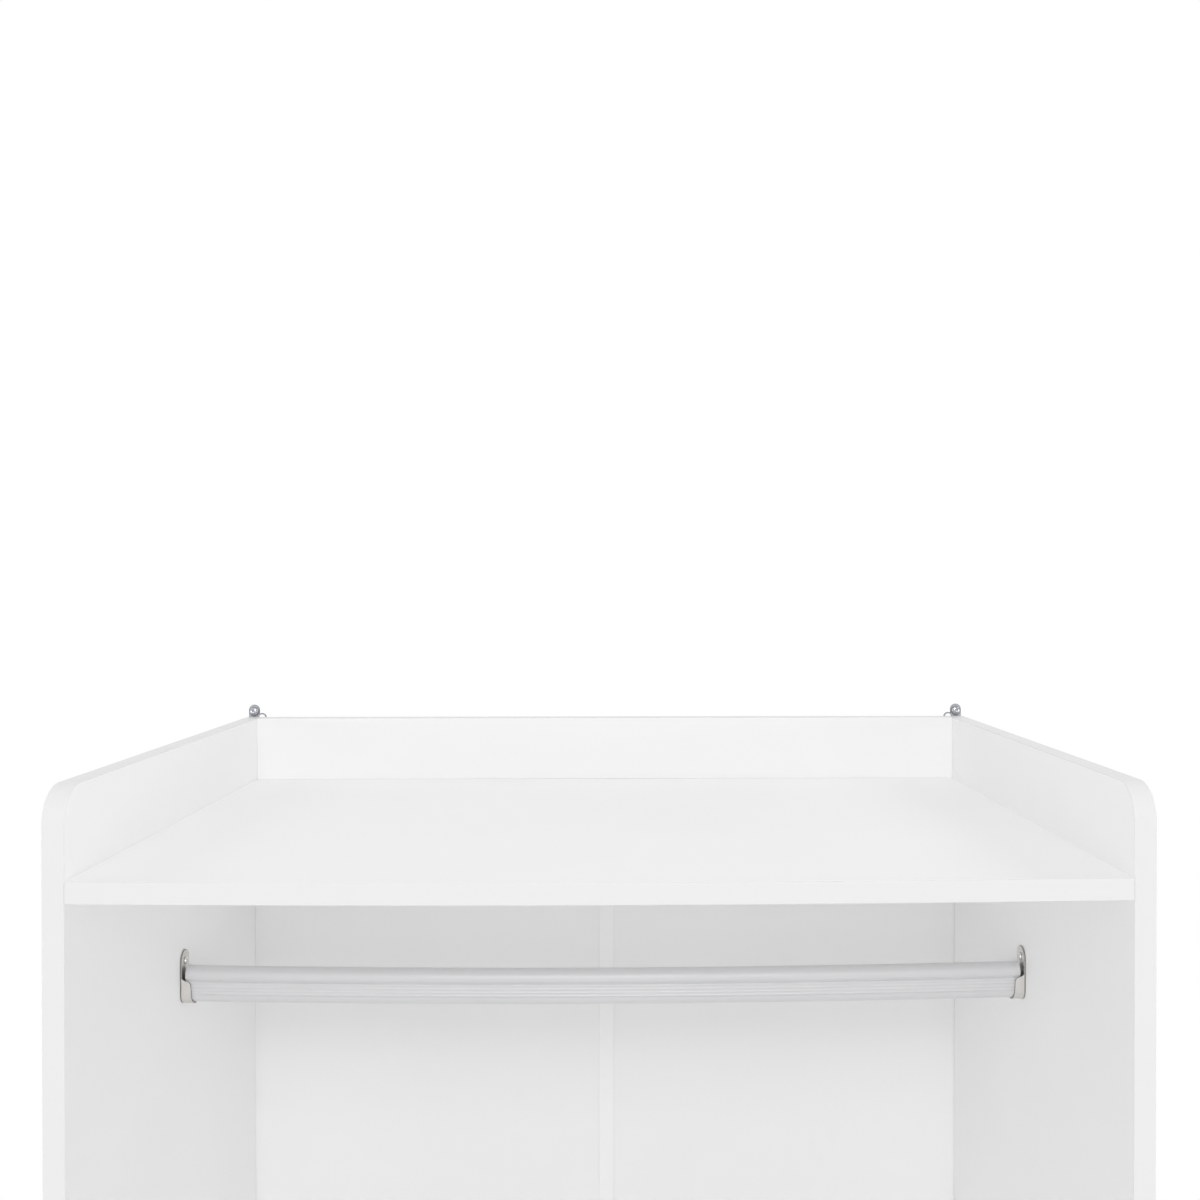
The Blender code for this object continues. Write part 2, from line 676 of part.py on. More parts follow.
def make_hanger_bolt(side, x, z):
    """The round-headed bolt in a hanger's ear, its tail spread behind the plate."""
    seat = (x, HANGER_FRONT_Y - SEAT_GAP, z)
    tail = HANGER_STEEL + 2 * SEAT_GAP
    profile = [
        (-BOLT_HEAD_HEIGHT, 0),
        (-BOLT_HEAD_HEIGHT, BOLT_HEAD_RADIUS * 0.5),
        (-BOLT_HEAD_HEIGHT * 0.6, BOLT_HEAD_RADIUS * 0.85),
        (0, BOLT_HEAD_RADIUS),
        (0, BOLT_SHANK_RADIUS),
        (tail, BOLT_SHANK_RADIUS),
        (tail, BOLT_TAIL_RADIUS),
        (tail + BOLT_TAIL_HEIGHT, BOLT_TAIL_RADIUS * 0.7),
        (tail + BOLT_TAIL_HEIGHT, 0),
    ]
    bm = bmesh.new()
    add_turned(bm, profile, seat, (0, 1, 0))
    piece(f"wall_hanger_bolt_{side}", bm, ZINC_STEEL, seat)


def grip_outline(top_z):
    """Outline in XZ of the finger grip cut into the top edge of a drawer front."""
    half = GRIP_WIDTH / 2
    floor_z = top_z - GRIP_DEPTH
    lip = GRIP_LIP_RADIUS
    over_z = top_z + GRIP_DEPTH
    lip_arc = arc((half + lip, top_z - lip), lip, 90, 180, CORNER_STEPS // 2)
    floor_arc = arc((half - GRIP_RADIUS, floor_z + GRIP_RADIUS), GRIP_RADIUS, 0, -90, CORNER_STEPS)
    right = [(half + lip, over_z)] + lip_arc + floor_arc
    left = [(-x, z) for x, z in reversed(right)]
    return right + left


def make_drawer_front(name, base_z, parent):
    """A drawer front with its grip and the groove for the drawer bottom."""
    half = HALF_INNER - FRONT_GAP
    top_z = base_z + FRONT_HEIGHT
    front = board(f"{name}_front", (-half, FRONT_Y, base_z), (half, FRONT_BACK_Y, top_z), parent)
    cuts = bmesh.new()
    add_prism(cuts, grip_outline(top_z), "Y", FRONT_Y - BOARD, FRONT_BACK_Y + BOARD)
    bottom_z = base_z + DRAWER_BOX_RISE + DRAWER_BOTTOM_RISE
    half_groove = HALF_BOX_INNER + DRAWER_GROOVE_DEPTH
    add_box(
        cuts,
        (-half_groove, FRONT_BACK_Y - DRAWER_GROOVE_DEPTH, bottom_z - GROOVE_GAP),
        (half_groove, FRONT_BACK_Y + BOARD, bottom_z + DRAWER_BOTTOM + GROOVE_GAP),
    )
    combine(front, helper(f"{name}_front_cuts", cuts), "DIFFERENCE")


def make_drawer_side(name, side, box_z, parent):
    """A drawer side with the groove for the drawer bottom."""
    sign = SIDES[side]
    x = sorted((sign * HALF_BOX_INNER, sign * HALF_BOX))
    y = (FRONT_BACK_Y + SEAT_GAP, SLIDE_REAR_Y)
    made = board(
        f"{name}_side_{side}",
        (x[0], y[0], box_z),
        (x[1], y[1], box_z + DRAWER_BOX_HEIGHT),
        parent,
    )
    cuts = bmesh.new()
    groove_x = sorted(
        (sign * (HALF_BOX_INNER - BOARD), sign * (HALF_BOX_INNER + DRAWER_GROOVE_DEPTH))
    )
    bottom_z = box_z + DRAWER_BOTTOM_RISE
    add_box(
        cuts,
        (groove_x[0], y[0] - BOARD, bottom_z - GROOVE_GAP),
        (groove_x[1], y[1] + BOARD, bottom_z + DRAWER_BOTTOM + GROOVE_GAP),
    )
    combine(made, helper(f"{name}_groove_{side}", cuts), "DIFFERENCE")


def make_drawer(name, index):
    """One drawer: its front, box and slides, on the line along which it runs."""
    base_z = BAY_FLOOR_Z + FRONT_GAP + index * (FRONT_HEIGHT + FRONT_GAP)
    box_z = base_z + DRAWER_BOX_RISE
    bottom_z = box_z + DRAWER_BOTTOM_RISE
    slide_z = box_z + DRAWER_BOX_HEIGHT / 2
    run = axis_empty(f"{name}_slide_axis", (0, FRONT_Y, slide_z))
    make_drawer_front(name, base_z, run)
    for side in SIDES:
        make_drawer_side(name, side, box_z, run)
    half_back = HALF_BOX_INNER - SEAT_GAP
    board(
        f"{name}_back",
        (-half_back, SLIDE_REAR_Y - DRAWER_BOARD, bottom_z + DRAWER_BOTTOM + GROOVE_GAP),
        (half_back, SLIDE_REAR_Y, box_z + DRAWER_BOX_HEIGHT),
        run,
    )
    half_bottom = HALF_BOX_INNER + DRAWER_TONGUE
    low = Vector((-half_bottom, FRONT_BACK_Y - DRAWER_TONGUE, bottom_z))
    high = Vector((half_bottom, SLIDE_REAR_Y, bottom_z + DRAWER_BOTTOM))
    bm = bmesh.new()
    add_box(bm, low, high)
    piece(f"{name}_bottom", bm, WHITE_HARDBOARD, (low + high) / 2, run)
    for side in SIDES:
        make_slide(name, side, slide_z, run)


def slide_outline(points, sign, slide_z):
    """An XZ outline from distances off the side panel and heights above the slide's middle."""
    return [(sign * (HALF_SHELF - off), slide_z + height) for off, height in points]


def outer_member_section():
    """Section of the cabinet member: a channel whose lips close over the balls."""
    half = SLIDE_HEIGHT / 2
    steel = SLIDE_STEEL
    depth = SLIDE_OUTER_DEPTH
    lip = half - steel - SLIDE_LIP
    upper = [
        (steel, half - steel),
        (depth - steel, half - steel),
        (depth - steel, lip),
        (depth, lip),
        (depth, half),
        (0, half),
    ]
    return upper + [(off, -height) for off, height in reversed(upper)]


def inner_member_section():
    """Section of the drawer member: a channel that opens towards the cabinet member."""
    half = INNER_MEMBER_HALF
    steel = SLIDE_STEEL
    tip = CAGE_WEB + CAGE_STEEL + RACE_GAP
    face = SLIDE_THICKNESS
    outside = [(tip, half), (face, half), (face, -half), (tip, -half)]
    inside = [
        (tip, steel - half),
        (face - steel, steel - half),
        (face - steel, half - steel),
        (tip, half - steel),
    ]
    return outside + inside


def cage_section():
    """Section of the ball cage: a thin web with an arm through each row of balls."""
    steel = CAGE_STEEL
    top = BALL_ROW_Z + steel / 2
    web = CAGE_WEB
    outside = [(web + CAGE_ARM, top), (web, top), (web, -top), (web + CAGE_ARM, -top)]
    inside = [
        (web + CAGE_ARM, steel - top),
        (web + steel, steel - top),
        (web + steel, top - steel),
        (web + CAGE_ARM, top - steel),
    ]
    return outside + inside


def make_slide(name, side, slide_z, run):
    """A ball slide: the cabinet member, the drawer member and the cage of balls between them."""
    sign = SIDES[side]
    front = (sign * HALF_SHELF, SLIDE_FRONT_Y, slide_z)
    bm = bmesh.new()
    outline = slide_outline(outer_member_section(), sign, slide_z)
    add_prism(bm, outline, "Y", SLIDE_FRONT_Y, SLIDE_REAR_Y)
    piece(f"{name}_cabinet_slide_{side}", bm, ZINC_STEEL, front)
    bm = bmesh.new()
    outline = slide_outline(inner_member_section(), sign, slide_z)
    add_prism(bm, outline, "Y", SLIDE_FRONT_Y, SLIDE_REAR_Y)
    piece(f"{name}_drawer_slide_{side}", bm, ZINC_STEEL, front, run)
    make_cage(name, side, slide_z)


def make_cage(name, side, slide_z):
    """The ball cage, on its own line, because it runs half as far as the drawer."""
    sign = SIDES[side]
    place = (sign * (HALF_SHELF - CAGE_WEB), CAGE_FRONT_Y, slide_z)
    run = axis_empty(f"{name}_cage_axis_{side}", place)
    bm = bmesh.new()
    outline = slide_outline(cage_section(), sign, slide_z)
    add_prism(bm, outline, "Y", CAGE_FRONT_Y, CAGE_FRONT_Y + CAGE_LENGTH)
    cage = piece(f"{name}_ball_cage_{side}", bm, ZINC_STEEL, place, run)
    balls = bmesh.new()
    pitch = CAGE_LENGTH / BALLS_PER_ROW
    ball_x = sign * (HALF_SHELF - CAGE_WEB - CAGE_ARM / 2)
    half_round = arc((0, 0), BALL_RADIUS, 180, 0, BALL_ARC_STEPS)
    for row in (-1, 1):
        for i in range(BALLS_PER_ROW):
            centre = (ball_x, CAGE_FRONT_Y + (i + 0.5) * pitch, slide_z + row * BALL_ROW_Z)
            add_turned(balls, half_round, centre, (1, 0, 0), BALL_TURN_STEPS)
    combine(cage, helper(f"{name}_balls_{side}", balls), "UNION")


def even_shading():
    """Shades each flat face flat, up to the arrises and cuts that meet it."""
    for obj in bpy.data.objects:
        if obj.type == "MESH" and not obj.hide_render:
            modifier = obj.modifiers.new("even shading", "WEIGHTED_NORMAL")
            modifier.keep_sharp = True


def main():
    """Builds the wardrobe."""
    clear_scene()
    make_carcass()
    make_back()
    make_rail()
    for side in SIDES:
        make_rail_cup(side)
        make_wall_hanger(side)
    for index, name in enumerate(("lower_drawer", "upper_drawer")):
        make_drawer(name, index)
    even_shading()


main()
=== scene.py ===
"""Looks of an open white wardrobe with a tray top, an oval clothes rail and two drawers.

Metres, +Z up, and the front faces -Y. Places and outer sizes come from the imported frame. What a
piece adds to its node, such as an arris or a screw recess, is a named size in its own class.
"""

from __future__ import annotations

import json
import logging
import math
from collections.abc import Callable, Iterable, Sequence
from dataclasses import dataclass
from enum import Enum
from functools import cache

import bmesh
import bpy
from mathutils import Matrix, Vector


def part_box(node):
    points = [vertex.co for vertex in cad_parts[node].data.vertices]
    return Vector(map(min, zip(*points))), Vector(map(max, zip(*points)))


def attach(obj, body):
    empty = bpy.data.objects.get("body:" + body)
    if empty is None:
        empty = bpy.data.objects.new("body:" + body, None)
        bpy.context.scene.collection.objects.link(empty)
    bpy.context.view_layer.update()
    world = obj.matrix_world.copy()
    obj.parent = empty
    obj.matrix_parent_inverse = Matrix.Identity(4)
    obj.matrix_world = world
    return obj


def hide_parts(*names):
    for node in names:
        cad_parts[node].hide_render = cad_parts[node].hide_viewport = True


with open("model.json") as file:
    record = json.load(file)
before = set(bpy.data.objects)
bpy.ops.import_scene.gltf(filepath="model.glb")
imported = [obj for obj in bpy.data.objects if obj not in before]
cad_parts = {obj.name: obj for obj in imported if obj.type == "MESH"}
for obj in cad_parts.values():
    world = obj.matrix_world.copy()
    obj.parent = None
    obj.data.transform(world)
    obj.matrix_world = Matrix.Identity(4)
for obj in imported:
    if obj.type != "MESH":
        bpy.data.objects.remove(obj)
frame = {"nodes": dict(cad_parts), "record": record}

LOG = logging.getLogger("wardrobe")
MM = 0.001
SIDES = {"left": -1, "right": 1}
DRAWERS = ("lower_drawer", "upper_drawer")
UP = Vector((0, 0, 1))
# White boards that face each other need more than the usual number of bounces of soft light.
DIFFUSE_BOUNCES = 8
# How far a cutter reaches past the piece that it cuts.
PAST = 5 * MM
# The straight edge between the dome of a head and its flat underside.
HEAD_EDGE = 0.02 * MM
# Nearly all values of a soft noise lie between these two.
CLOUD_LOW, CLOUD_HIGH = 0.3, 0.7
# The point of a cross screwdriver: down to which share of its depth its arms stay wide, how much
# of their reach is left at the tip, and how much of half their width.
CROSS_STRAIGHT, CROSS_TIP_REACH, CROSS_TIP_WIDTH = 0.35, 0.45, 0.9

Point = tuple[float, float]
Bodies: dict[str, str] = {
    node: body for body, nodes in frame["record"]["behaviour"]["bodies"].items() for node in nodes
}


def linear(hex_colour: str) -> tuple[float, float, float, float]:
    """Turns an sRGB hex colour into the linear one that a shader takes.

    Args:
        hex_colour: Six hex digits after a hash sign.

    Returns:
        Red, green, blue and an alpha of 1.
    """
    parts = [int(hex_colour[i : i + 2], 16) / 255 for i in (1, 3, 5)]
    red, green, blue = (
        c / 12.92 if c <= 0.04045 else ((c + 0.055) / 1.055) ** 2.4 for c in parts
    )
    return red, green, blue, 1.0


def per_size(size_mm: float) -> float:
    """Texture scale whose pattern repeats about once in that many millimetres."""
    return 1 / (size_mm * MM)


def add_node(
    tree: bpy.types.NodeTree, kind: str, inputs: dict | None = None, **properties: object
) -> bpy.types.Node:
    """Adds a node with its settings and links.

    Args:
        tree: The material's or world's node tree.
        kind: Blender's name of the node type.
        inputs: Input name or index to a value, or to the socket that feeds it.
        properties: The node's own settings.

    Returns:
        The new node.
    """
    node = tree.nodes.new(kind)
    for name, value in properties.items():
        setattr(node, name, value)
    for key, value in (inputs or {}).items():
        if isinstance(value, bpy.types.NodeSocket):
            tree.links.new(value, node.inputs[key])
        else:
            node.inputs[key].default_value = value
    return node


class Direction(Enum):
    """The way in which a drawn or rolled surface was pulled through its tool."""

    NONE = (1.0, 1.0, 1.0)
    ALONG_X = (0.004, 1.0, 1.0)
    ALONG_Y = (1.0, 0.004, 1.0)
    ALONG_Z = (1.0, 1.0, 0.004)


@dataclass(frozen=True)
class Finish:
    """A real material and the way in which its surface was made."""

    name: str
    colour: str
    variation: str
    roughness: float
    roughness_spread: float
    cloud_mm: float
    texture_mm: float
    relief_mm: float
    direction: Direction = Direction.NONE
    ior: float = 1.5
    metallic: float = 0.0
    coat: float = 0.0
    coat_roughness: float = 0.1

    def material(self) -> bpy.types.Material:
        """The finish as a material, made once."""
        return made_material(self)

    def coordinates(self, tree: bpy.types.NodeTree) -> bpy.types.NodeSocket:
        """Places on the piece in metres, squeezed along the way that the surface was drawn.

        Args:
            tree: The material's node tree.

        Returns:
            The socket that gives the places.
        """
        place = add_node(tree, "ShaderNodeTexCoord").outputs["Object"]
        if self.direction is Direction.NONE:
            return place
        return add_node(
            tree, "ShaderNodeMapping", {"Vector": place, "Scale": self.direction.value}
        ).outputs["Vector"]

    def dress(self, tree: bpy.types.NodeTree, shader: bpy.types.Node) -> None:
        """Gives the shader its clouding, its uneven gloss and its fine relief.

        Args:
            tree: The material's node tree.
            shader: The Principled shader.
        """
        place = self.coordinates(tree)
        cloud = self.noise(tree, place, self.cloud_mm, detail=3.0)
        grain = self.noise(tree, place, self.texture_mm, detail=2.0)
        self.tint(tree, shader, cloud)
        self.gloss(tree, shader, cloud)
        self.relief(tree, shader, grain)

    def noise(
        self, tree: bpy.types.NodeTree, place: bpy.types.NodeSocket, size_mm: float, detail: float
    ) -> bpy.types.NodeSocket:
        """Soft random values that change over that many millimetres.

        Args:
            tree: The material's node tree.
            place: The socket that gives the places.
            size_mm: The size of one spot.
            detail: How many finer layers lie over it.

        Returns:
            The socket that gives the values.
        """
        return add_node(
            tree,
            "ShaderNodeTexNoise",
            {"Vector": place, "Scale": per_size(size_mm), "Detail": detail, "Roughness": 0.5},
        ).outputs["Fac"]

    def tint(
        self, tree: bpy.types.NodeTree, shader: bpy.types.Node, cloud: bpy.types.NodeSocket
    ) -> None:
        """Mixes the two colours of the finish by the clouding.

        Args:
            tree: The material's node tree.
            shader: The Principled shader.
            cloud: The clouding from 0 to 1.
        """
        mixed = add_node(
            tree,
            "ShaderNodeMix",
            {"Factor": cloud, 6: linear(self.colour), 7: linear(self.variation)},
            data_type="RGBA",
        )
        tree.links.new(mixed.outputs[2], shader.inputs["Base Color"])

    def gloss(
        self, tree: bpy.types.NodeTree, shader: bpy.types.Node, cloud: bpy.types.NodeSocket
    ) -> None:
        """Spreads the roughness round its middle value by the clouding.

        Args:
            tree: The material's node tree.
            shader: The Principled shader.
            cloud: The clouding from 0 to 1.
        """
        spread = add_node(
            tree,
            "ShaderNodeMapRange",
            {
                "Value": cloud,
                "From Min": CLOUD_LOW,
                "From Max": CLOUD_HIGH,
                "To Min": self.roughness - self.roughness_spread,
                "To Max": self.roughness + self.roughness_spread,
            },
        )
        tree.links.new(spread.outputs["Result"], shader.inputs["Roughness"])

    def relief(
        self, tree: bpy.types.NodeTree, shader: bpy.types.Node, grain: bpy.types.NodeSocket
    ) -> None:
        """Raises the fine grain of the surface.

        Args:
            tree: The material's node tree.
            shader: The Principled shader.
            grain: The grain's height from 0 to 1.
        """
        bump = add_node(
            tree,
            "ShaderNodeBump",
            {"Height": grain, "Strength": 1.0, "Distance": self.relief_mm * MM},
        )
        tree.links.new(bump.outputs["Normal"], shader.inputs["Normal"])


@dataclass(frozen=True)
class ChipCore(Finish):
    """Sawn particle board, where light and dark wood chips lie pressed together."""

    chip_mm: float = 2.2
    dark_chip: str = "#9C7B55"

    def tint(
        self, tree: bpy.types.NodeTree, shader: bpy.types.Node, cloud: bpy.types.NodeSocket
    ) -> None:
        """Gives each chip its own shade between a light and a dark wood.

        Args:
            tree: The material's node tree.
            shader: The Principled shader.
            cloud: The clouding, unused by sawn chips.
        """
        place = add_node(tree, "ShaderNodeTexCoord").outputs["Object"]
        chips = add_node(
            tree, "ShaderNodeTexVoronoi", {"Vector": place, "Scale": per_size(self.chip_mm)}
        )
        shade = add_node(tree, "ShaderNodeSeparateColor", {"Color": chips.outputs["Color"]})
        mixed = add_node(
            tree,
            "ShaderNodeMix",
            {"Factor": shade.outputs[0], 6: linear(self.colour), 7: linear(self.dark_chip)},
            data_type="RGBA",
        )
        tree.links.new(mixed.outputs[2], shader.inputs["Base Color"])


@dataclass(frozen=True)
class FibreBoard(Finish):
    """Uncoated rear of hardboard, where short dark fibres lie in a lighter felt."""

    fibre_mm: float = 1.6
    dark_fibre: str = "#7E5C3B"
    fibre_from: float = 0.52
    fibre_to: float = 0.72
    fibre_strength: float = 0.6

    def tint(
        self, tree: bpy.types.NodeTree, shader: bpy.types.Node, cloud: bpy.types.NodeSocket
    ) -> None:
        """Scatters the dark fibres over the clouded felt.

        Args:
            tree: The material's node tree.
            shader: The Principled shader.
            cloud: The clouding from 0 to 1.
        """
        felt = add_node(
            tree,
            "ShaderNodeMix",
            {"Factor": cloud, 6: linear(self.colour), 7: linear(self.variation)},
            data_type="RGBA",
        )
        place = add_node(tree, "ShaderNodeTexCoord").outputs["Object"]
        fibres = add_node(
            tree,
            "ShaderNodeMapRange",
            {
                "Value": self.noise(tree, place, self.fibre_mm, detail=6.0),
                "From Min": self.fibre_from,
                "From Max": self.fibre_to,
                "To Min": 0.0,
                "To Max": self.fibre_strength,
            },
        )
        mixed = add_node(
            tree,
            "ShaderNodeMix",
            {
                "Factor": fibres.outputs["Result"],
                6: felt.outputs[2],
                7: linear(self.dark_fibre),
            },
            data_type="RGBA",
        )
        tree.links.new(mixed.outputs[2], shader.inputs["Base Color"])


@cache
def made_material(finish: Finish) -> bpy.types.Material:
    """Builds the material of a finish the first time that it is asked for.

    Args:
        finish: The finish to build.

    Returns:
        The material, the same one for the same finish.
    """
    made = bpy.data.materials.new(finish.name)
    made.use_nodes = True
    tree = made.node_tree
    shader = tree.nodes["Principled BSDF"]
    shader.inputs["Metallic"].default_value = finish.metallic
    if not finish.metallic:
        shader.inputs["IOR"].default_value = finish.ior
    if finish.coat:
        shader.inputs["Coat Weight"].default_value = finish.coat
        shader.inputs["Coat Roughness"].default_value = finish.coat_roughness
    finish.dress(tree, shader)
    made.diffuse_color = linear(finish.colour)
    return made


# A resin film pressed on particle board: an even white with a satin shine and a fine pearl grain.
# The real grain is about 0.4 mm wide, and it is drawn at 1.4 mm so that it shows.
MELAMINE = Finish("pressed_melamine", "#F5F5F5", "#F3F3F3", 0.48, 0.04, 130, 1.4, 0.014)
# Extruded ABS edging, scraped and buffed on the edge: a touch smoother and greyer than the film.
# The grey is partly painted shade, which darkens the edges that face the front.
EDGING_AND_PAINTED_SHADE = Finish("buffed_abs_edging", "#E6E6E6", "#E4E4E4", 0.42, 0.04, 60, 2.5, 0.006)
# The hot-melt glue joint behind the edging: a hairline between the film's white and the edging's.
GLUE_LINE = Finish("hotmelt_glue_line", "#EEEEED", "#EAEAE9", 0.55, 0.04, 20, 1.0, 0.01)
# Sawn chipboard in grooves and bores: pale chips in different browns, dull and crumbly.
CHIPBOARD = ChipCore("sawn_chipboard", "#CDB48C", "#BFA27A", 0.85, 0.05, 12, 0.8, 0.12)
# Hardboard with a roller-coated white lacquer: flatter than the melamine, slightly rippled.
LACQUER = Finish("roller_lacquered_hardboard", "#F4F4F4", "#F2F2F2", 0.56, 0.05, 160, 3.0, 0.014)
# The uncoated rear of the hardboard: a warm brown felt of wood fibres, quite dull.
RAW_HARDBOARD = FibreBoard("raw_hardboard", "#AD875C", "#9C774E", 0.78, 0.05, 45, 1.2, 0.05)
# Extruded PVC profile: a slightly bluish white, smooth, with faint draw lines along its length.
PVC_PROFILE = Finish(
    "extruded_pvc", "#F7F7F7", "#F5F5F5", 0.30, 0.04, 40, 0.8, 0.006, Direction.ALONG_Z
)
# Injection-moulded polyethylene: a waxy white with a soft shine.
MOULDED_PE = Finish("moulded_polyethylene", "#ECECEA", "#E6E6E3", 0.38, 0.05, 8, 0.9, 0.012)
# Aluminium, etched and thickly anodised: the milky oxide scatters the light nearly as paint does,
# and only a little of the metal's own glint comes through, with faint draw lines along the tube.
ANODISED = Finish(
    "anodised_aluminium", "#DADADB", "#D6D6D8", 0.44, 0.03, 30, 0.5, 0.004,
    Direction.ALONG_X, metallic=0.15,
)  # fmt: skip
# Pressed steel with a bright nickel plate: warm grey, smooth, softly rippled by the press tool.
NICKEL = Finish(
    "nickel_plated_steel", "#E6E4E1", "#DDDAD7", 0.38, 0.05, 9, 2.0, 0.010, metallic=1.0
)
# The blanked edges of the pressed parts, where the die tore the steel: dull, dark and rough.
SHEARED_EDGE = Finish(
    "sheared_steel_edge", "#B2AFAB", "#999693", 0.50, 0.08, 2.5, 0.5, 0.01, metallic=1.0
)
# The same torn edge under a dull zinc coat: darker still.
HANGER_EDGE = Finish(
    "sheared_zinc_edge", "#808286", "#6A6C70", 0.45, 0.08, 2.5, 0.5, 0.01, metallic=1.0
)
# The stamped washer under the hanger bolt's head: bare spring steel, greyer than the zinc. Its dark
# grey is partly painted shade, which darkens the ring round the bolt's head as the shade in the
# recess would.
WASHER_STEEL_AND_SHADE = Finish(
    "bare_spring_steel", "#8C8E94", "#787A80", 0.36, 0.06, 4, 0.8, 0.01, metallic=1.0
)
# The hanger bolt: plain bright steel, darkened a little by its oil.
OILED_STEEL = Finish(
    "oiled_bright_steel", "#B9BABE", "#9FA0A6", 0.16, 0.05, 3, 1.2, 0.02, metallic=1.0
)
# Screws from the same plating bath, tumbled in bulk: brighter, with small dents.
NICKEL_SCREW = Finish(
    "nickel_plated_screw", "#F2F0EE", "#E8E6E3", 0.30, 0.05, 3, 0.7, 0.006, metallic=1.0
)
# Cold-formed steel with a clear-passivated zinc plate: bluish grey, satin, slightly mottled.
ZINC = Finish("zinc_plated_steel", "#C6CAD0", "#B5B9C1", 0.32, 0.07, 14, 1.0, 0.012, metallic=1.0)
# Hanger plates in a thicker and duller zinc coat, which has greyed in the air.
DULL_ZINC = Finish("dull_zinc_steel", "#BEC0C4", "#A9ABB0", 0.30, 0.07, 6, 1.0, 0.012, metallic=1.0)
# Roll-formed zinc-plated strip: the same plate with faint roll lines along the slide.
ZINC_STRIP = Finish(
    "roll_formed_zinc_strip", "#C9CCD1", "#B9BCC3", 0.30, 0.06, 18, 0.6, 0.008,
    Direction.ALONG_Y, metallic=1.0,
)  # fmt: skip
# Ground and polished bearing steel: nearly a mirror.
BALL_STEEL = Finish(
    "polished_ball_steel", "#D9DADC", "#D2D3D6", 0.07, 0.02, 4, 1.0, 0.001, metallic=1.0
)


def arc_points(centre: Point, radius: float, start: float, end: float, steps: int) -> list[Point]:
    """Points on an arc, both ends included.

    Args:
        centre: The arc's centre.
        radius: Its radius.
        start: Its first angle in degrees.
        end: Its last angle in degrees.
        steps: How many chords it has.

    Returns:
        The points in order.
    """
    angles = [math.radians(start + (end - start) * i / steps) for i in range(steps + 1)]
    return [(centre[0] + radius * math.cos(a), centre[1] + radius * math.sin(a)) for a in angles]


def rounded_outline(corners: Sequence[tuple[float, float, float]], steps: int) -> list[Point]:
    """An outline whose corners are rounded, each by its own radius.

    Args:
        corners: Two coordinates and a radius for each corner, in order round the outline.
        steps: How many chords each rounded corner has.

    Returns:
        The outline's points.
    """
    points: list[Point] = []
    for i, (a, b, radius) in enumerate(corners):
        corner = Vector((a, b))
        if radius <= 0:
            points.append((a, b))
            continue
        before = (Vector(corners[i - 1][:2]) - corner).normalized()
        after = (Vector(corners[(i + 1) % len(corners)][:2]) - corner).normalized()
        half = before.angle(after) / 2
        centre = corner + (before + after).normalized() * (radius / math.sin(half))
        first = corner + before * (radius / math.tan(half)) - centre
        turn = first.angle_signed(corner + after * (radius / math.tan(half)) - centre)
        start = math.atan2(first.y, first.x)
        # Vector.angle_signed is positive clockwise.
        for k in range(steps + 1):
            angle = start - turn * k / steps
            points.append(
                (centre.x + radius * math.cos(angle), centre.y + radius * math.sin(angle))
            )
    return points


def anticlockwise(outline: Sequence[Point]) -> list[Point]:
    """The outline, turned round if it runs clockwise.

    Args:
        outline: The outline's points.

    Returns:
        The same points, anticlockwise.
    """
    area = sum(
        a[0] * b[1] - b[0] * a[1] for a, b in zip(outline, [*outline[1:], outline[0]])
    )
    return list(outline) if area > 0 else list(reversed(outline))


def inset(outline: Sequence[Point], distance: float) -> list[Point]:
    """An anticlockwise outline, moved inwards by a distance.

    Args:
        outline: The outline's points.
        distance: How far each side moves.

    Returns:
        As many points as the outline has.
    """
    moved = []
    for before, point, after in zip([outline[-1], *outline], outline, [*outline[1:], outline[0]]):
        first = (Vector(point) - Vector(before)).normalized()
        second = (Vector(after) - Vector(point)).normalized()
        inward_first = Vector((-first.y, first.x))
        inward_second = Vector((-second.y, second.x))
        shift = (inward_first + inward_second) * (
            distance / (1 + inward_first.dot(inward_second))
        )
        moved.append((point[0] + shift.x, point[1] + shift.y))
    return moved


def along(axis: str, level: float, point: Point) -> Vector:
    """The place of an outline's point in a plane across an axis.

    Args:
        axis: X, Y or Z.
        level: How far along the axis the plane lies.
        point: The point's two other coordinates.

    Returns:
        The point in space.
    """
    values = list(point)
    values.insert("XYZ".index(axis), level)
    return Vector(values)


def bridge(bm: bmesh.types.BMesh, first: Sequence, second: Sequence, slot: int = 0) -> None:
    """Joins two rings of vertices with faces. A ring may also be a single vertex.

    Args:
        bm: The mesh that holds the rings.
        first: One ring.
        second: The next ring.
        slot: The material slot of the new faces.
    """
    count = max(len(first), len(second))
    for i in range(count):
        j = (i + 1) % count
        corners = [first[i % len(first)], first[j % len(first)]]
        corners += [second[j % len(second)], second[i % len(second)]]
        face = bm.faces.new(list(dict.fromkeys(corners)))
        face.material_index = slot


def add_turned(
    bm: bmesh.types.BMesh,
    profile: Sequence[Point],
    start: Vector,
    direction: Vector,
    steps: int = 32,
    slot: int = 0,
) -> None:
    """Adds a turned shape, such as a screw.

    Args:
        bm: The mesh to add to.
        profile: Distance along the axis and radius, from axis to axis.
        start: Where the axis begins.
        direction: The way in which it runs.
        steps: How many sides the shape has.
        slot: The material slot of its faces.
    """
    axis = direction.normalized()
    side = axis.orthogonal().normalized()
    across = axis.cross(side)
    rings = []
    for distance, radius in profile:
        centre = start + axis * distance
        if radius == 0:
            rings.append([bm.verts.new(centre)])
            continue
        turns = [2 * math.pi * i / steps for i in range(steps)]
        rings.append(
            [
                bm.verts.new(centre + (side * math.cos(a) + across * math.sin(a)) * radius)
                for a in turns
            ]
        )
    for first, second in zip(rings, rings[1:]):
        bridge(bm, first, second, slot)


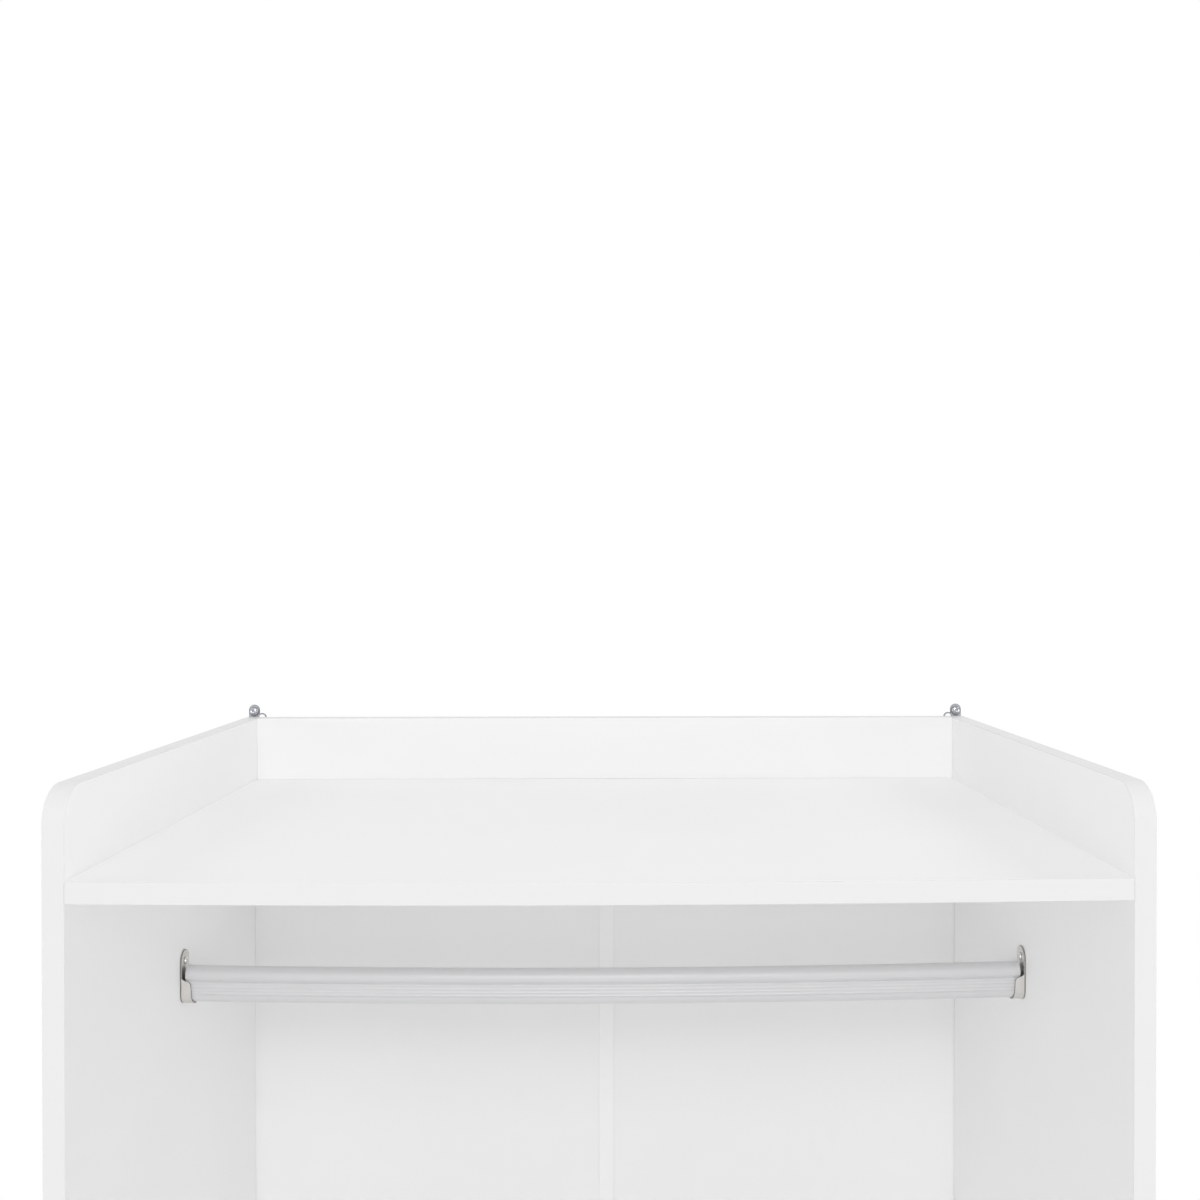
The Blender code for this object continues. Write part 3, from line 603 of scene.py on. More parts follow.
def add_plate(
    bm: bmesh.types.BMesh,
    outline: Sequence[Point],
    axis: str,
    span: Point,
    arris: float,
    steps: int = 3,
    slot: int = 0,
    edge_slot: int | None = None,
) -> None:
    """Adds a flat shape with rounded arrises all round both of its faces.

    Args:
        bm: The mesh to add to.
        outline: Its outline across the axis.
        axis: X, Y or Z, the axis of its thickness.
        span: The levels of its two faces.
        arris: The radius of the arrises.
        steps: How many chords round each arris.
        slot: The material slot of its faces.
        edge_slot: The material slot of its edges, where they differ.
    """
    outline = anticlockwise(outline)
    low, high = min(span), max(span)
    turns = [math.pi / 2 * i / steps for i in range(steps + 1)]
    levels = [(arris * (1 - math.sin(t)), low + arris * (1 - math.cos(t))) for t in turns]
    levels += [(depth, high - (level - low)) for depth, level in reversed(levels)]
    rings = [
        [bm.verts.new(along(axis, level, p)) for p in inset(outline, depth)]
        for depth, level in levels
    ]
    for first, second in zip(rings, rings[1:]):
        bridge(bm, first, second, slot if edge_slot is None else edge_slot)
    for ring in (rings[0], rings[-1]):
        bm.faces.new(ring).material_index = slot


def add_box(bm: bmesh.types.BMesh, low: Vector, high: Vector, slot: int = 0) -> None:
    """Adds a box with sharp edges, for a cutter.

    Args:
        bm: The mesh to add to.
        low: Its lowest corner.
        high: Its highest corner.
        slot: The material slot of its faces.
    """
    outline = [(low.x, low.y), (high.x, low.y), (high.x, high.y), (low.x, high.y)]
    rings = [[bm.verts.new(along("Z", z, p)) for p in outline] for z in (low.z, high.z)]
    bridge(bm, *rings, slot)
    for ring in rings:
        bm.faces.new(ring).material_index = slot


def box_between(one: Vector, other: Vector) -> tuple[Vector, Vector]:
    """The lowest and the highest corner of the box between two points.

    Args:
        one: A corner of the box.
        other: The corner across from it.

    Returns:
        The lowest and the highest corner.
    """
    low = Vector(tuple(min(pair) for pair in zip(one, other)))
    high = Vector(tuple(max(pair) for pair in zip(one, other)))
    return low, high


def make_object(
    name: str, bm: bmesh.types.BMesh, finishes: Sequence[Finish]
) -> bpy.types.Object:
    """Turns a mesh under construction into an object.

    Args:
        name: The piece's name.
        bm: The mesh, which is freed.
        finishes: The finish of each material slot.

    Returns:
        The object, at the origin of the frame.
    """
    bmesh.ops.recalc_face_normals(bm, faces=bm.faces)
    mesh = bpy.data.meshes.new(name)
    bm.to_mesh(mesh)
    bm.free()
    for finish in finishes:
        mesh.materials.append(finish.material())
    obj = bpy.data.objects.new(name, mesh)
    bpy.context.scene.collection.objects.link(obj)
    return obj


def shape_with(
    target: bpy.types.Object, operation: str, tools: Iterable[bmesh.types.BMesh]
) -> None:
    """Cuts or joins a piece with closed shapes, and keeps the result as its mesh.

    Args:
        target: The piece.
        operation: DIFFERENCE or UNION.
        tools: The other shapes, which are freed.
    """
    helpers = []
    for bm in tools:
        helper = make_object("helper", bm, ())
        helpers.append(helper)
        modifier = target.modifiers.new("shape", "BOOLEAN")
        modifier.operation = operation
        modifier.solver = "EXACT"
        modifier.object = helper
    settle(target)
    for helper in helpers:
        mesh = helper.data
        bpy.data.objects.remove(helper)
        bpy.data.meshes.remove(mesh)


def weld(target: bpy.types.Object, helper: bpy.types.Object) -> None:
    """Moves a helper's closed shape into a piece whose metal it grows out of.

    Args:
        target: The piece.
        helper: The other shape, which is removed.
    """
    bm = bmesh.new()
    bm.from_mesh(target.data)
    bm.from_mesh(helper.data)
    bm.to_mesh(target.data)
    bm.free()
    mesh = helper.data
    bpy.data.objects.remove(helper)
    bpy.data.meshes.remove(mesh)


def settle(obj: bpy.types.Object) -> None:
    """Keeps what the modifiers make as the object's own mesh.

    Args:
        obj: The object, which keeps no modifier.
    """
    evaluated = obj.evaluated_get(bpy.context.evaluated_depsgraph_get())
    mesh = bpy.data.meshes.new_from_object(evaluated)
    old = obj.data
    obj.modifiers.clear()
    obj.data = mesh
    name = old.name
    bpy.data.meshes.remove(old)
    mesh.name = name


def soften(obj: bpy.types.Object, width: float, segments: int = 2, angle: float = 40) -> None:
    """Rounds the sharp edges of a piece and keeps the result.

    Args:
        obj: The piece.
        width: How far the rounding reaches from an edge.
        segments: How many faces it has.
        angle: Only edges that turn by more than this many degrees are rounded.
    """
    modifier = obj.modifiers.new("soften", "BEVEL")
    modifier.width = width
    modifier.segments = segments
    modifier.limit_method = "ANGLE"
    modifier.angle_limit = math.radians(angle)
    modifier.use_clamp_overlap = True
    settle(obj)


def shade(obj: bpy.types.Object, sharp_angle: float = 35) -> None:
    """Shades round stretches smooth and keeps flat faces flat.

    Args:
        obj: The piece.
        sharp_angle: Edges that turn by more than this many degrees stay sharp.
    """
    obj.data.shade_smooth()
    obj.data.set_sharp_from_angle(angle=math.radians(sharp_angle))
    modifier = obj.modifiers.new("even shading", "WEIGHTED_NORMAL")
    modifier.keep_sharp = True


def stand_for(obj: bpy.types.Object, node: str) -> None:
    """Lets a finished piece stand for a CAD node, on its body.

    Args:
        obj: The piece.
        node: The node that it replaces.
    """
    shade(obj)
    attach(obj, Bodies[node])
    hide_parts(node)
    LOG.info("%s stands for its node, %d faces", obj.name, len(obj.data.polygons))


def go_with(obj: bpy.types.Object, node: str) -> None:
    """Lets an added piece ride with a CAD node, on its body.

    Args:
        obj: The piece.
        node: The node that it goes with.
    """
    shade(obj)
    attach(obj, Bodies[node])
    LOG.info("%s added, %d faces", obj.name, len(obj.data.polygons))


class BoardFace(Enum):
    """The material slots of a board."""

    FILM = 0
    EDGE = 1
    GLUE = 2
    CORE = 3


@dataclass
class Board:
    """A sawn board with a coated face, edging, and raw chips where it is cut.

    The solids keep a small gap at every joint. closer_low and closer_high are how far the board
    reaches into the gaps at its low and its high ends, so that the joint looks as tight as it is.
    """

    node: str
    thickness_axis: str
    arris: float = 0.6 * MM
    glue_width: float = 0.14 * MM
    corner_radius: float = 1.1 * MM
    end_arris: float = 0.02 * MM
    closer_low: tuple[float, float, float] = (0, 0, 0)
    closer_high: tuple[float, float, float] = (0, 0, 0)
    sag: float = 0.0
    held_depth: float = 0.0
    sag_steps: int = 28

    def build(
        self, outline: Sequence[Point] | None = None, cuts: Iterable[bmesh.types.BMesh] = ()
    ) -> bpy.types.Object:
        """Builds the board in the place of its node.

        Args:
            outline: Its outline across the thickness, where that isn't a rectangle.
            cuts: The grooves and bores to cut from it.

        Returns:
            The finished board.
        """
        bm = bmesh.new()
        low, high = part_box(self.node)
        low, high = low - Vector(self.closer_low), high + Vector(self.closer_high)
        if outline is None and self.thickness_axis == "Z":
            self.add_cross_board(bm, low, high)
        else:
            self.add_panel(bm, outline, low, high)
        self.assign_slots(bm)
        # The edging's finish is partly painted shade on the front-facing edges.
        board = make_object(f"{self.node}_board", bm, (MELAMINE, EDGING_AND_PAINTED_SHADE, GLUE_LINE, CHIPBOARD))
        cuts = list(cuts)
        if cuts:
            shape_with(board, "DIFFERENCE", cuts)
        stand_for(board, self.node)
        return board

    def add_cross_board(self, bm: bmesh.types.BMesh, low: Vector, high: Vector) -> None:
        """Adds a flat board whose front and rear edges have edging and whose ends are sawn.

        Args:
            bm: The mesh to add to.
            low: The board's lowest corner.
            high: Its highest corner.
        """
        line = self.arris + self.glue_width
        outline = rounded_outline(
            [
                (low.y, low.z, self.arris),
                (low.y + line, low.z, 0),
                (high.y - line, low.z, 0),
                (high.y, low.z, self.arris),
                (high.y, high.z, self.arris),
                (high.y - line, high.z, 0),
                (low.y + line, high.z, 0),
                (low.y, high.z, self.arris),
            ],
            steps=4,
        )
        add_plate(bm, outline, "X", (low.x, high.x), self.end_arris, steps=1)
        if self.sag:
            self.bend(bm, low, high)

    def bend(self, bm: bmesh.types.BMesh, low: Vector, high: Vector) -> None:
        """Lets the board hang between its ends, most along its front edge.

        Args:
            bm: The board's mesh.
            low: Its lowest corner.
            high: Its highest corner, where a strip on its rear keeps it straight.
        """
        middle, half = (low.x + high.x) / 2, (high.x - low.x) / 2
        for i in range(1, self.sag_steps):
            at = Vector((low.x + (high.x - low.x) * i / self.sag_steps, 0, 0))
            parts = [*bm.verts, *bm.edges, *bm.faces]
            bmesh.ops.bisect_plane(bm, geom=parts, plane_co=at, plane_no=Vector((1, 0, 0)))
        held = high.y - self.held_depth
        for vert in bm.verts:
            across = (vert.co.x - middle) / half
            depth = max(0.0, (held - vert.co.y) / (held - low.y))
            vert.co.z -= self.sag * (1 - across * across) * depth

    def add_panel(
        self, bm: bmesh.types.BMesh, outline: Sequence[Point] | None, low: Vector, high: Vector
    ) -> None:
        """Adds a board with edging on its whole outline.

        Args:
            bm: The mesh to add to.
            outline: Its outline, or None for a rectangle.
            low: Its lowest corner.
            high: Its highest corner.
        """
        axis = "XYZ".index(self.thickness_axis)
        a, b = (i for i in range(3) if i != axis)
        shape = outline or rounded_outline(
            [
                (low[a], low[b], self.corner_radius),
                (high[a], low[b], self.corner_radius),
                (high[a], high[b], self.corner_radius),
                (low[a], high[b], self.corner_radius),
            ],
            steps=3,
        )
        add_plate(bm, shape, self.thickness_axis, (low[axis], high[axis]), self.arris)
        bm.faces.ensure_lookup_table()
        caps = [bm.faces[-2], bm.faces[-1]]
        bmesh.ops.inset_individual(bm, faces=caps, thickness=self.glue_width)

    def assign_slots(self, bm: bmesh.types.BMesh) -> None:
        """Gives each face its coating by the way it looks, and the glue line by its width.

        Args:
            bm: The board's mesh.
        """
        bmesh.ops.recalc_face_normals(bm, faces=bm.faces)
        across = "XYZ".index(self.thickness_axis)
        for face in bm.faces:
            if abs(face.normal[across]) > 0.99:
                narrow = min(e.calc_length() for e in face.edges) < 1.5 * self.glue_width
                look = BoardFace.GLUE if narrow and len(face.edges) == 4 else BoardFace.FILM
                face.material_index = look.value
            elif across == 2 and abs(face.normal.x) > 0.5:
                face.material_index = BoardFace.CORE.value
            else:
                face.material_index = BoardFace.EDGE.value


@dataclass
class Screw:
    """A pan-head screw with a cross recess, set where its node sits."""

    node: str
    outward: Vector
    finish: Finish = NICKEL_SCREW
    recess_width: float = 0.7 * MM
    recess_share: float = 0.52
    recess_depth: float = 0.8 * MM
    dome_steps: int = 6
    dome_share: float = 0.48
    shank_share: float = 0.48
    rim_share: float = 0.97
    under_share: float = 1.02

    def build(self) -> None:
        """Builds the screw in the place of its node."""
        low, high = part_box(self.node)
        centre = (low + high) / 2
        axis = max(range(3), key=lambda i: abs(self.outward[i]))
        across = [i for i in range(3) if i != axis]
        radius = min(high[i] - low[i] for i in across) / 2
        seat_end = high[axis] if self.outward[axis] > 0 else low[axis]
        tip_end = low[axis] if self.outward[axis] > 0 else high[axis]
        top = centre.copy()
        top[axis] = seat_end
        bm = bmesh.new()
        add_turned(bm, self.profile(radius, abs(seat_end - tip_end)), top, -self.outward)
        screw = make_object(f"{self.node}_piece", bm, (self.finish,))
        shape_with(screw, "DIFFERENCE", [self.recess(top, radius)])
        stand_for(screw, self.node)

    def profile(self, radius: float, length: float) -> list[Point]:
        """Profile of the screw from the top of its domed head to its tip.

        Args:
            radius: The head's radius.
            length: The screw's whole length.

        Returns:
            Distance from the top and radius of each point.
        """
        rise, shank = radius * self.dome_share, radius * self.shank_share
        under = rise * self.under_share
        dome = dome_points(rise, radius, self.dome_steps)
        tip = [(length - 2 * shank, shank), (length, 0)]
        return [*dome, (under, radius * self.rim_share), (under, shank), *tip]

    def recess(self, top: Vector, radius: float) -> bmesh.types.BMesh:
        """A cross that narrows with depth, as a screwdriver's point does.

        Args:
            top: The middle of the head's top.
            radius: The head's radius.

        Returns:
            The cutter's mesh.
        """
        return cross_cutter(
            top, self.outward, radius * self.recess_share, self.recess_width, self.recess_depth
        )


def dome_points(rise: float, radius: float, steps: int) -> list[Point]:
    """The profile of a domed head from the middle of its top to its rim.

    Args:
        rise: How high the dome is.
        radius: The head's radius.
        steps: How many straight pieces make the curve.

    Returns:
        Distance from the top and radius of each point.
    """
    turns = (math.pi / 2 * i / steps for i in range(steps + 1))
    return [(rise * (1 - math.cos(t)), radius * math.sin(t)) for t in turns]


def cross_cutter(
    top: Vector, outward: Vector, reach: float, width: float, depth: float
) -> bmesh.types.BMesh:
    """A closed cross-shaped cutter that narrows with depth.

    Args:
        top: The middle of the head's top.
        outward: The way in which the head looks.
        reach: How far the arms reach at the top.
        width: How wide they are.
        depth: How deep they go.

    Returns:
        The cutter's mesh.
    """
    side = outward.orthogonal().normalized()
    across = outward.normalized().cross(side)
    half = width / 2
    star = [(reach, -half), (reach, half), (half, half), (half, reach)]
    star += [(-half, reach), (-half, half)]
    star += [(-a, -b) for a, b in star]
    bm = bmesh.new()
    rings = []
    levels = ((depth, 1.0), (-depth * CROSS_STRAIGHT, 1.0), (-depth, CROSS_TIP_REACH))
    for level, arms in levels:
        ring = []
        for a, b in star:
            a = math.copysign(max(abs(a) * arms, half * CROSS_TIP_WIDTH), a)
            b = math.copysign(max(abs(b) * arms, half * CROSS_TIP_WIDTH), b)
            ring.append(bm.verts.new(top + outward * level + side * a + across * b))
        rings.append(ring)
    for first, second in zip(rings, rings[1:]):
        bridge(bm, first, second)
    bm.faces.new(rings[0])
    bm.faces.new(rings[-1])
    return bm


@dataclass
class Carcass:
    """The fixed boards, their connecting screws and the glides."""

    corner_radius: float = 25 * MM
    shelf_sag: float = 2.0 * MM
    strip_depth: float = 15 * MM
    strip_arris: float = 0.15 * MM
    joint_closer: float = 0.30 * MM
    bore_gap: float = 0.35 * MM
    head_radius: float = 5 * MM
    head_rim: float = 1.2 * MM
    shank_radius: float = 3.5 * MM
    core_radius: float = 2.5 * MM
    shank_reach: float = 15.15 * MM
    pilot_radius: float = 1.6 * MM
    pilot_lead: float = 1 * MM
    pilot_end: float = 1.5 * MM
    thread_start: float = 15 * MM
    thread_pitch: float = 2.4 * MM
    thread_runout: float = 1 * MM
    thread_root_share: float = 0.8
    thread_ridge: tuple[float, float, float] = (0.35, 0.6, 0.85)
    tip_length: float = 2 * MM
    head_chamfer: float = 0.25 * MM
    groove_gap: float = 0.3 * MM
    groove_depth: float = 7 * MM
    groove_end_gap: float = 1 * MM
    socket_width: float = 4 * MM
    socket_depth: float = 3 * MM
    socket_lead: float = 2 * MM
    socket_point: float = 1 * MM
    sole_round: float = 1.2 * MM
    held_boards: tuple[str, ...] = ("bottom_panel", "bay_top", "top_shelf")

    def build(self) -> None:
        """Builds every piece of the carcass."""
        for side, sign in SIDES.items():
            self.build_side(side, sign)
        ends = (self.joint_closer, 0, 0)
        for name in self.held_boards:
            board = Board(name, "Z", closer_low=ends, closer_high=ends)
            if name == "top_shelf":
                board.sag, board.held_depth = self.shelf_sag, self.strip_depth
            board.build(cuts=self.cross_board_cuts(name))
        on_shelf = (self.joint_closer, 0, self.joint_closer)
        strip = Board("tray_rear_rail", "Y", closer_low=on_shelf, closer_high=ends)
        strip.arris = self.strip_arris
        strip.build()
        Board("plinth_board", "Y", closer_low=ends, closer_high=on_shelf).build()
        for node in sorted(frame["nodes"]):
            if node.startswith("connector_"):
                self.build_connector(node)
            elif node.startswith("glide_"):
                self.build_glide(node)

    def build_side(self, side: str, sign: int) -> None:
        """Builds a side panel with its round top front corner.

        Args:
            side: left or right.
            sign: -1 on the left and 1 on the right.
        """
        node = f"side_panel_{side}"
        low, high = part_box(node)
        small = Board.corner_radius
        outline = rounded_outline(
            [
                (low.y, low.z, small),
                (high.y, low.z, small),
                (high.y, high.z, small),
                (low.y, high.z, self.corner_radius),
            ],
            steps=28,
        )
        cuts = [self.groove_cut(sign, low.z)]
        cuts += [self.bore(name) for name in frame["nodes"] if self.is_connector(name, side)]
        cuts.append(self.fitting_bore(f"rail_cup_screw_{side}", Vector((sign, 0, 0))))
        cuts.append(self.fitting_bore(f"wall_hanger_screw_{side}", Vector((0, -1, 0))))
        Board(node, "X").build(outline, cuts)

    def is_connector(self, node: str, side: str, held: str = "") -> bool:
        """Whether a node is a connecting screw of that side and, where one is named, that board."""
        return node.startswith(f"connector_{held}") and node.endswith(f"_{side}")

    def groove_cut(self, sign: int, bottom: float) -> bmesh.types.BMesh:
        """The groove that holds the back panel, as a cutter.

        Args:
            sign: -1 on the left and 1 on the right.
            bottom: The side panel's lower end.

        Returns:
            The cutter's mesh.
        """
        panel_low, panel_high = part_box("back_panel_right")
        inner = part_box("side_panel_right")[0].x
        one = Vector((sign * (inner - PAST), panel_low.y - self.groove_gap, bottom - PAST))
        other = Vector(
            (
                sign * (inner + self.groove_depth),
                panel_high.y + self.groove_gap,
                panel_high.z + self.groove_end_gap,
            )
        )
        bm = bmesh.new()
        add_box(bm, *box_between(one, other), slot=BoardFace.CORE.value)
        return bm

    def cross_board_cuts(self, name: str) -> list[bmesh.types.BMesh]:
        """The bores in a cross board's ends and, under the top shelf, the groove for the back.

        Args:
            name: The board's node.

        Returns:
            The cutters' meshes.
        """
        cuts = [
            self.bore(node)
            for node in frame["nodes"]
            if any(self.is_connector(node, side, name) for side in SIDES)
        ]
        if name == "top_shelf":
            panel_low, panel_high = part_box("back_panel_right")
            low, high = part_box(name)
            bm = bmesh.new()
            gap, top = self.groove_gap, panel_high.z + self.groove_end_gap
            add_box(
                bm,
                Vector((low.x - PAST, panel_low.y - gap, low.z - PAST)),
                Vector((high.x + PAST, panel_high.y + gap, top)),
                slot=BoardFace.CORE.value,
            )
            cuts.append(bm)
        return cuts

    def bore(self, node: str) -> bmesh.types.BMesh:
        """The stepped bore of a connecting screw, as a cutter.

        Args:
            node: The screw's node.

        Returns:
            The cutter's mesh.
        """
        start, inward, length = self.connector_line(node)
        gap = self.bore_gap
        cone = self.head_radius - self.shank_radius
        rim = self.head_rim + gap
        bm = bmesh.new()
        add_turned(
            bm,
            [
                (-PAST, 0),
                (-PAST, self.head_radius + gap),
                (rim, self.head_radius + gap),
                (rim + cone, self.shank_radius + gap),
                (self.shank_reach, self.shank_radius + gap),
                (self.shank_reach, self.core_radius + gap),
                (length + gap, self.core_radius + gap),
                (length + gap, 0),
            ],
            start,
            inward,
            slot=BoardFace.CORE.value,
        )
        return bm

    def fitting_bore(self, node: str, inward: Vector) -> bmesh.types.BMesh:
        """The plain bore of a fitting's screw, as a cutter.

        Args:
            node: The screw's node.
            inward: The way in which the screw runs.

        Returns:
            The cutter's mesh.
        """
        low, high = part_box(node)
        centre = (low + high) / 2
        length = abs((high - low).dot(inward))
        bm = bmesh.new()
        radius = self.pilot_radius + self.bore_gap
        start = centre - inward * (length / 2 + self.pilot_lead)
        end = length + self.pilot_end
        add_turned(
            bm,
            [(0, 0), (0, radius), (end, radius), (end, 0)],
            start,
            inward,
            steps=20,
            slot=BoardFace.CORE.value,
        )
        return bm

    def connector_line(self, node: str) -> tuple[Vector, Vector, float]:
        """Where a connecting screw starts, the way in which it runs, and its length.

        Args:
            node: The screw's node.

        Returns:
            The middle of its head, its direction and its length.
        """
        low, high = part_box(node)
        centre = (low + high) / 2
        sign = math.copysign(1, centre.x)
        outer = high.x if sign > 0 else low.x
        return Vector((outer, centre.y, centre.z)), Vector((-sign, 0, 0)), high.x - low.x

    def build_connector(self, node: str) -> None:
        """Builds a connecting screw: a countersunk head, a hexagon socket and a coarse thread.

        Args:
            node: The screw's node.
        """
        start, inward, length = self.connector_line(node)
        cone = self.head_radius - self.shank_radius
        chamfer, pitch = self.head_chamfer, self.thread_pitch
        root = self.core_radius * self.thread_root_share
        profile = [
            (0, 0),
            (0, self.head_radius - chamfer),
            (chamfer, self.head_radius),
            (self.head_rim, self.head_radius),
            (self.head_rim + cone, self.shank_radius),
            (self.thread_start - self.thread_runout, self.shank_radius),
            (self.thread_start, root),
        ]
        ridges = int((length - self.thread_start - 2 * self.tip_length) / pitch)
        for i in range(ridges):
            at = self.thread_start + i * pitch
            for share, radius in zip(self.thread_ridge, (root, self.core_radius, root)):
                profile.append((at + share * pitch, radius))
        profile += [(length - self.tip_length, root), (length, 0)]
        bm = bmesh.new()
        add_turned(bm, profile, start, inward, steps=28)
        screw = make_object(f"{node}_piece", bm, (ZINC,))
        socket = bmesh.new()
        flat = self.socket_width / math.sqrt(3)
        add_turned(
            socket,
            [
                (-self.socket_lead, 0),
                (-self.socket_lead, flat),
                (self.socket_depth, flat),
                (self.socket_depth + self.socket_point, 0),
            ],
            start,
            inward,
            steps=6,
        )
        shape_with(screw, "DIFFERENCE", [socket])
        stand_for(screw, node)

    def build_glide(self, node: str) -> None:
        """Builds a floor glide with a rounded sole.

        Args:
            node: The glide's node.
        """
        low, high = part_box(node)
        radius = (high.x - low.x) / 2
        height = high.z - low.z
        sole = self.sole_round
        edge = [
            (sole * (1 - math.cos(t)), radius - sole + sole * math.sin(t))
            for t in (math.pi / 2 * i / 5 for i in range(6))
        ]
        profile = [(0, 0), *edge, (height, radius), (height, 0)]
        centre = (low + high) / 2
        bm = bmesh.new()
        add_turned(bm, profile, Vector((centre.x, centre.y, low.z)), UP, steps=40)
        glide = make_object(f"{node}_piece", bm, (MOULDED_PE,))
        stand_for(glide, node)


@dataclass
class Back:
    """The thin panels and the strip that joins them."""

    arris: float = 0.25 * MM
    flange: float = 1.0 * MM
    web: float = 1.2 * MM
    crown: float = 0.3 * MM
    lip: float = 0.5 * MM
    end_arris: float = 0.05 * MM

    def build(self) -> None:
        """Builds both panels and the strip."""
        for side in SIDES:
            build_thin_panel(f"back_panel_{side}", "Y", self.arris, coated_side=-1)
        self.build_joiner()

    def build_joiner(self) -> None:
        """Builds the H-shaped strip, its front flange slightly crowned and its lips rounded."""
        node = "back_joiner_strip"
        low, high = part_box(node)
        half = (high.x - low.x) / 2
        crown, lip = self.crown, self.lip
        front = [(half * t, low.y + crown * t * t) for t in (1 - i / 8 for i in range(17))]
        front = [(x * (half - lip) / half, y) for x, y in front]
        slot_front = low.y + self.flange
        slot_rear = high.y - self.flange
        corners = [(half, low.y + crown + lip)]
        corners += [(half, slot_front), (self.web / 2, slot_front), (self.web / 2, slot_rear)]
        corners += [(half, slot_rear), (half, high.y - lip), (half - lip, high.y)]
        left = [(-x, y) for x, y in reversed(corners)]
        outline = [*reversed(front), *corners, *left]
        bm = bmesh.new()
        add_plate(bm, outline, "Z", (low.z, high.z), self.end_arris, steps=1)
        strip = make_object(f"{node}_profile", bm, (PVC_PROFILE,))
        stand_for(strip, node)


def build_thin_panel(node: str, axis: str, arris: float, coated_side: int) -> None:
    """Builds a hardboard panel that is lacquered on one side and raw on the other.

    Args:
        node: The node that it stands for.
        axis: The axis of its thickness.
        arris: The radius of its arrises.
        coated_side: -1 where the lacquer looks down the axis, and 1 where it looks up it.
    """
    low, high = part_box(node)
    index = "XYZ".index(axis)
    a, b = (i for i in range(3) if i != index)
    outline = [(low[a], low[b]), (high[a], low[b]), (high[a], high[b]), (low[a], high[b])]
    bm = bmesh.new()
    add_plate(bm, outline, axis, (low[index], high[index]), arris, steps=2)
    bmesh.ops.recalc_face_normals(bm, faces=bm.faces)
    for face in bm.faces:
        face.material_index = 0 if face.normal[index] * coated_side > 0.3 else 1
    panel = make_object(f"{node}_sheet", bm, (LACQUER, RAW_HARDBOARD))
    stand_for(panel, node)


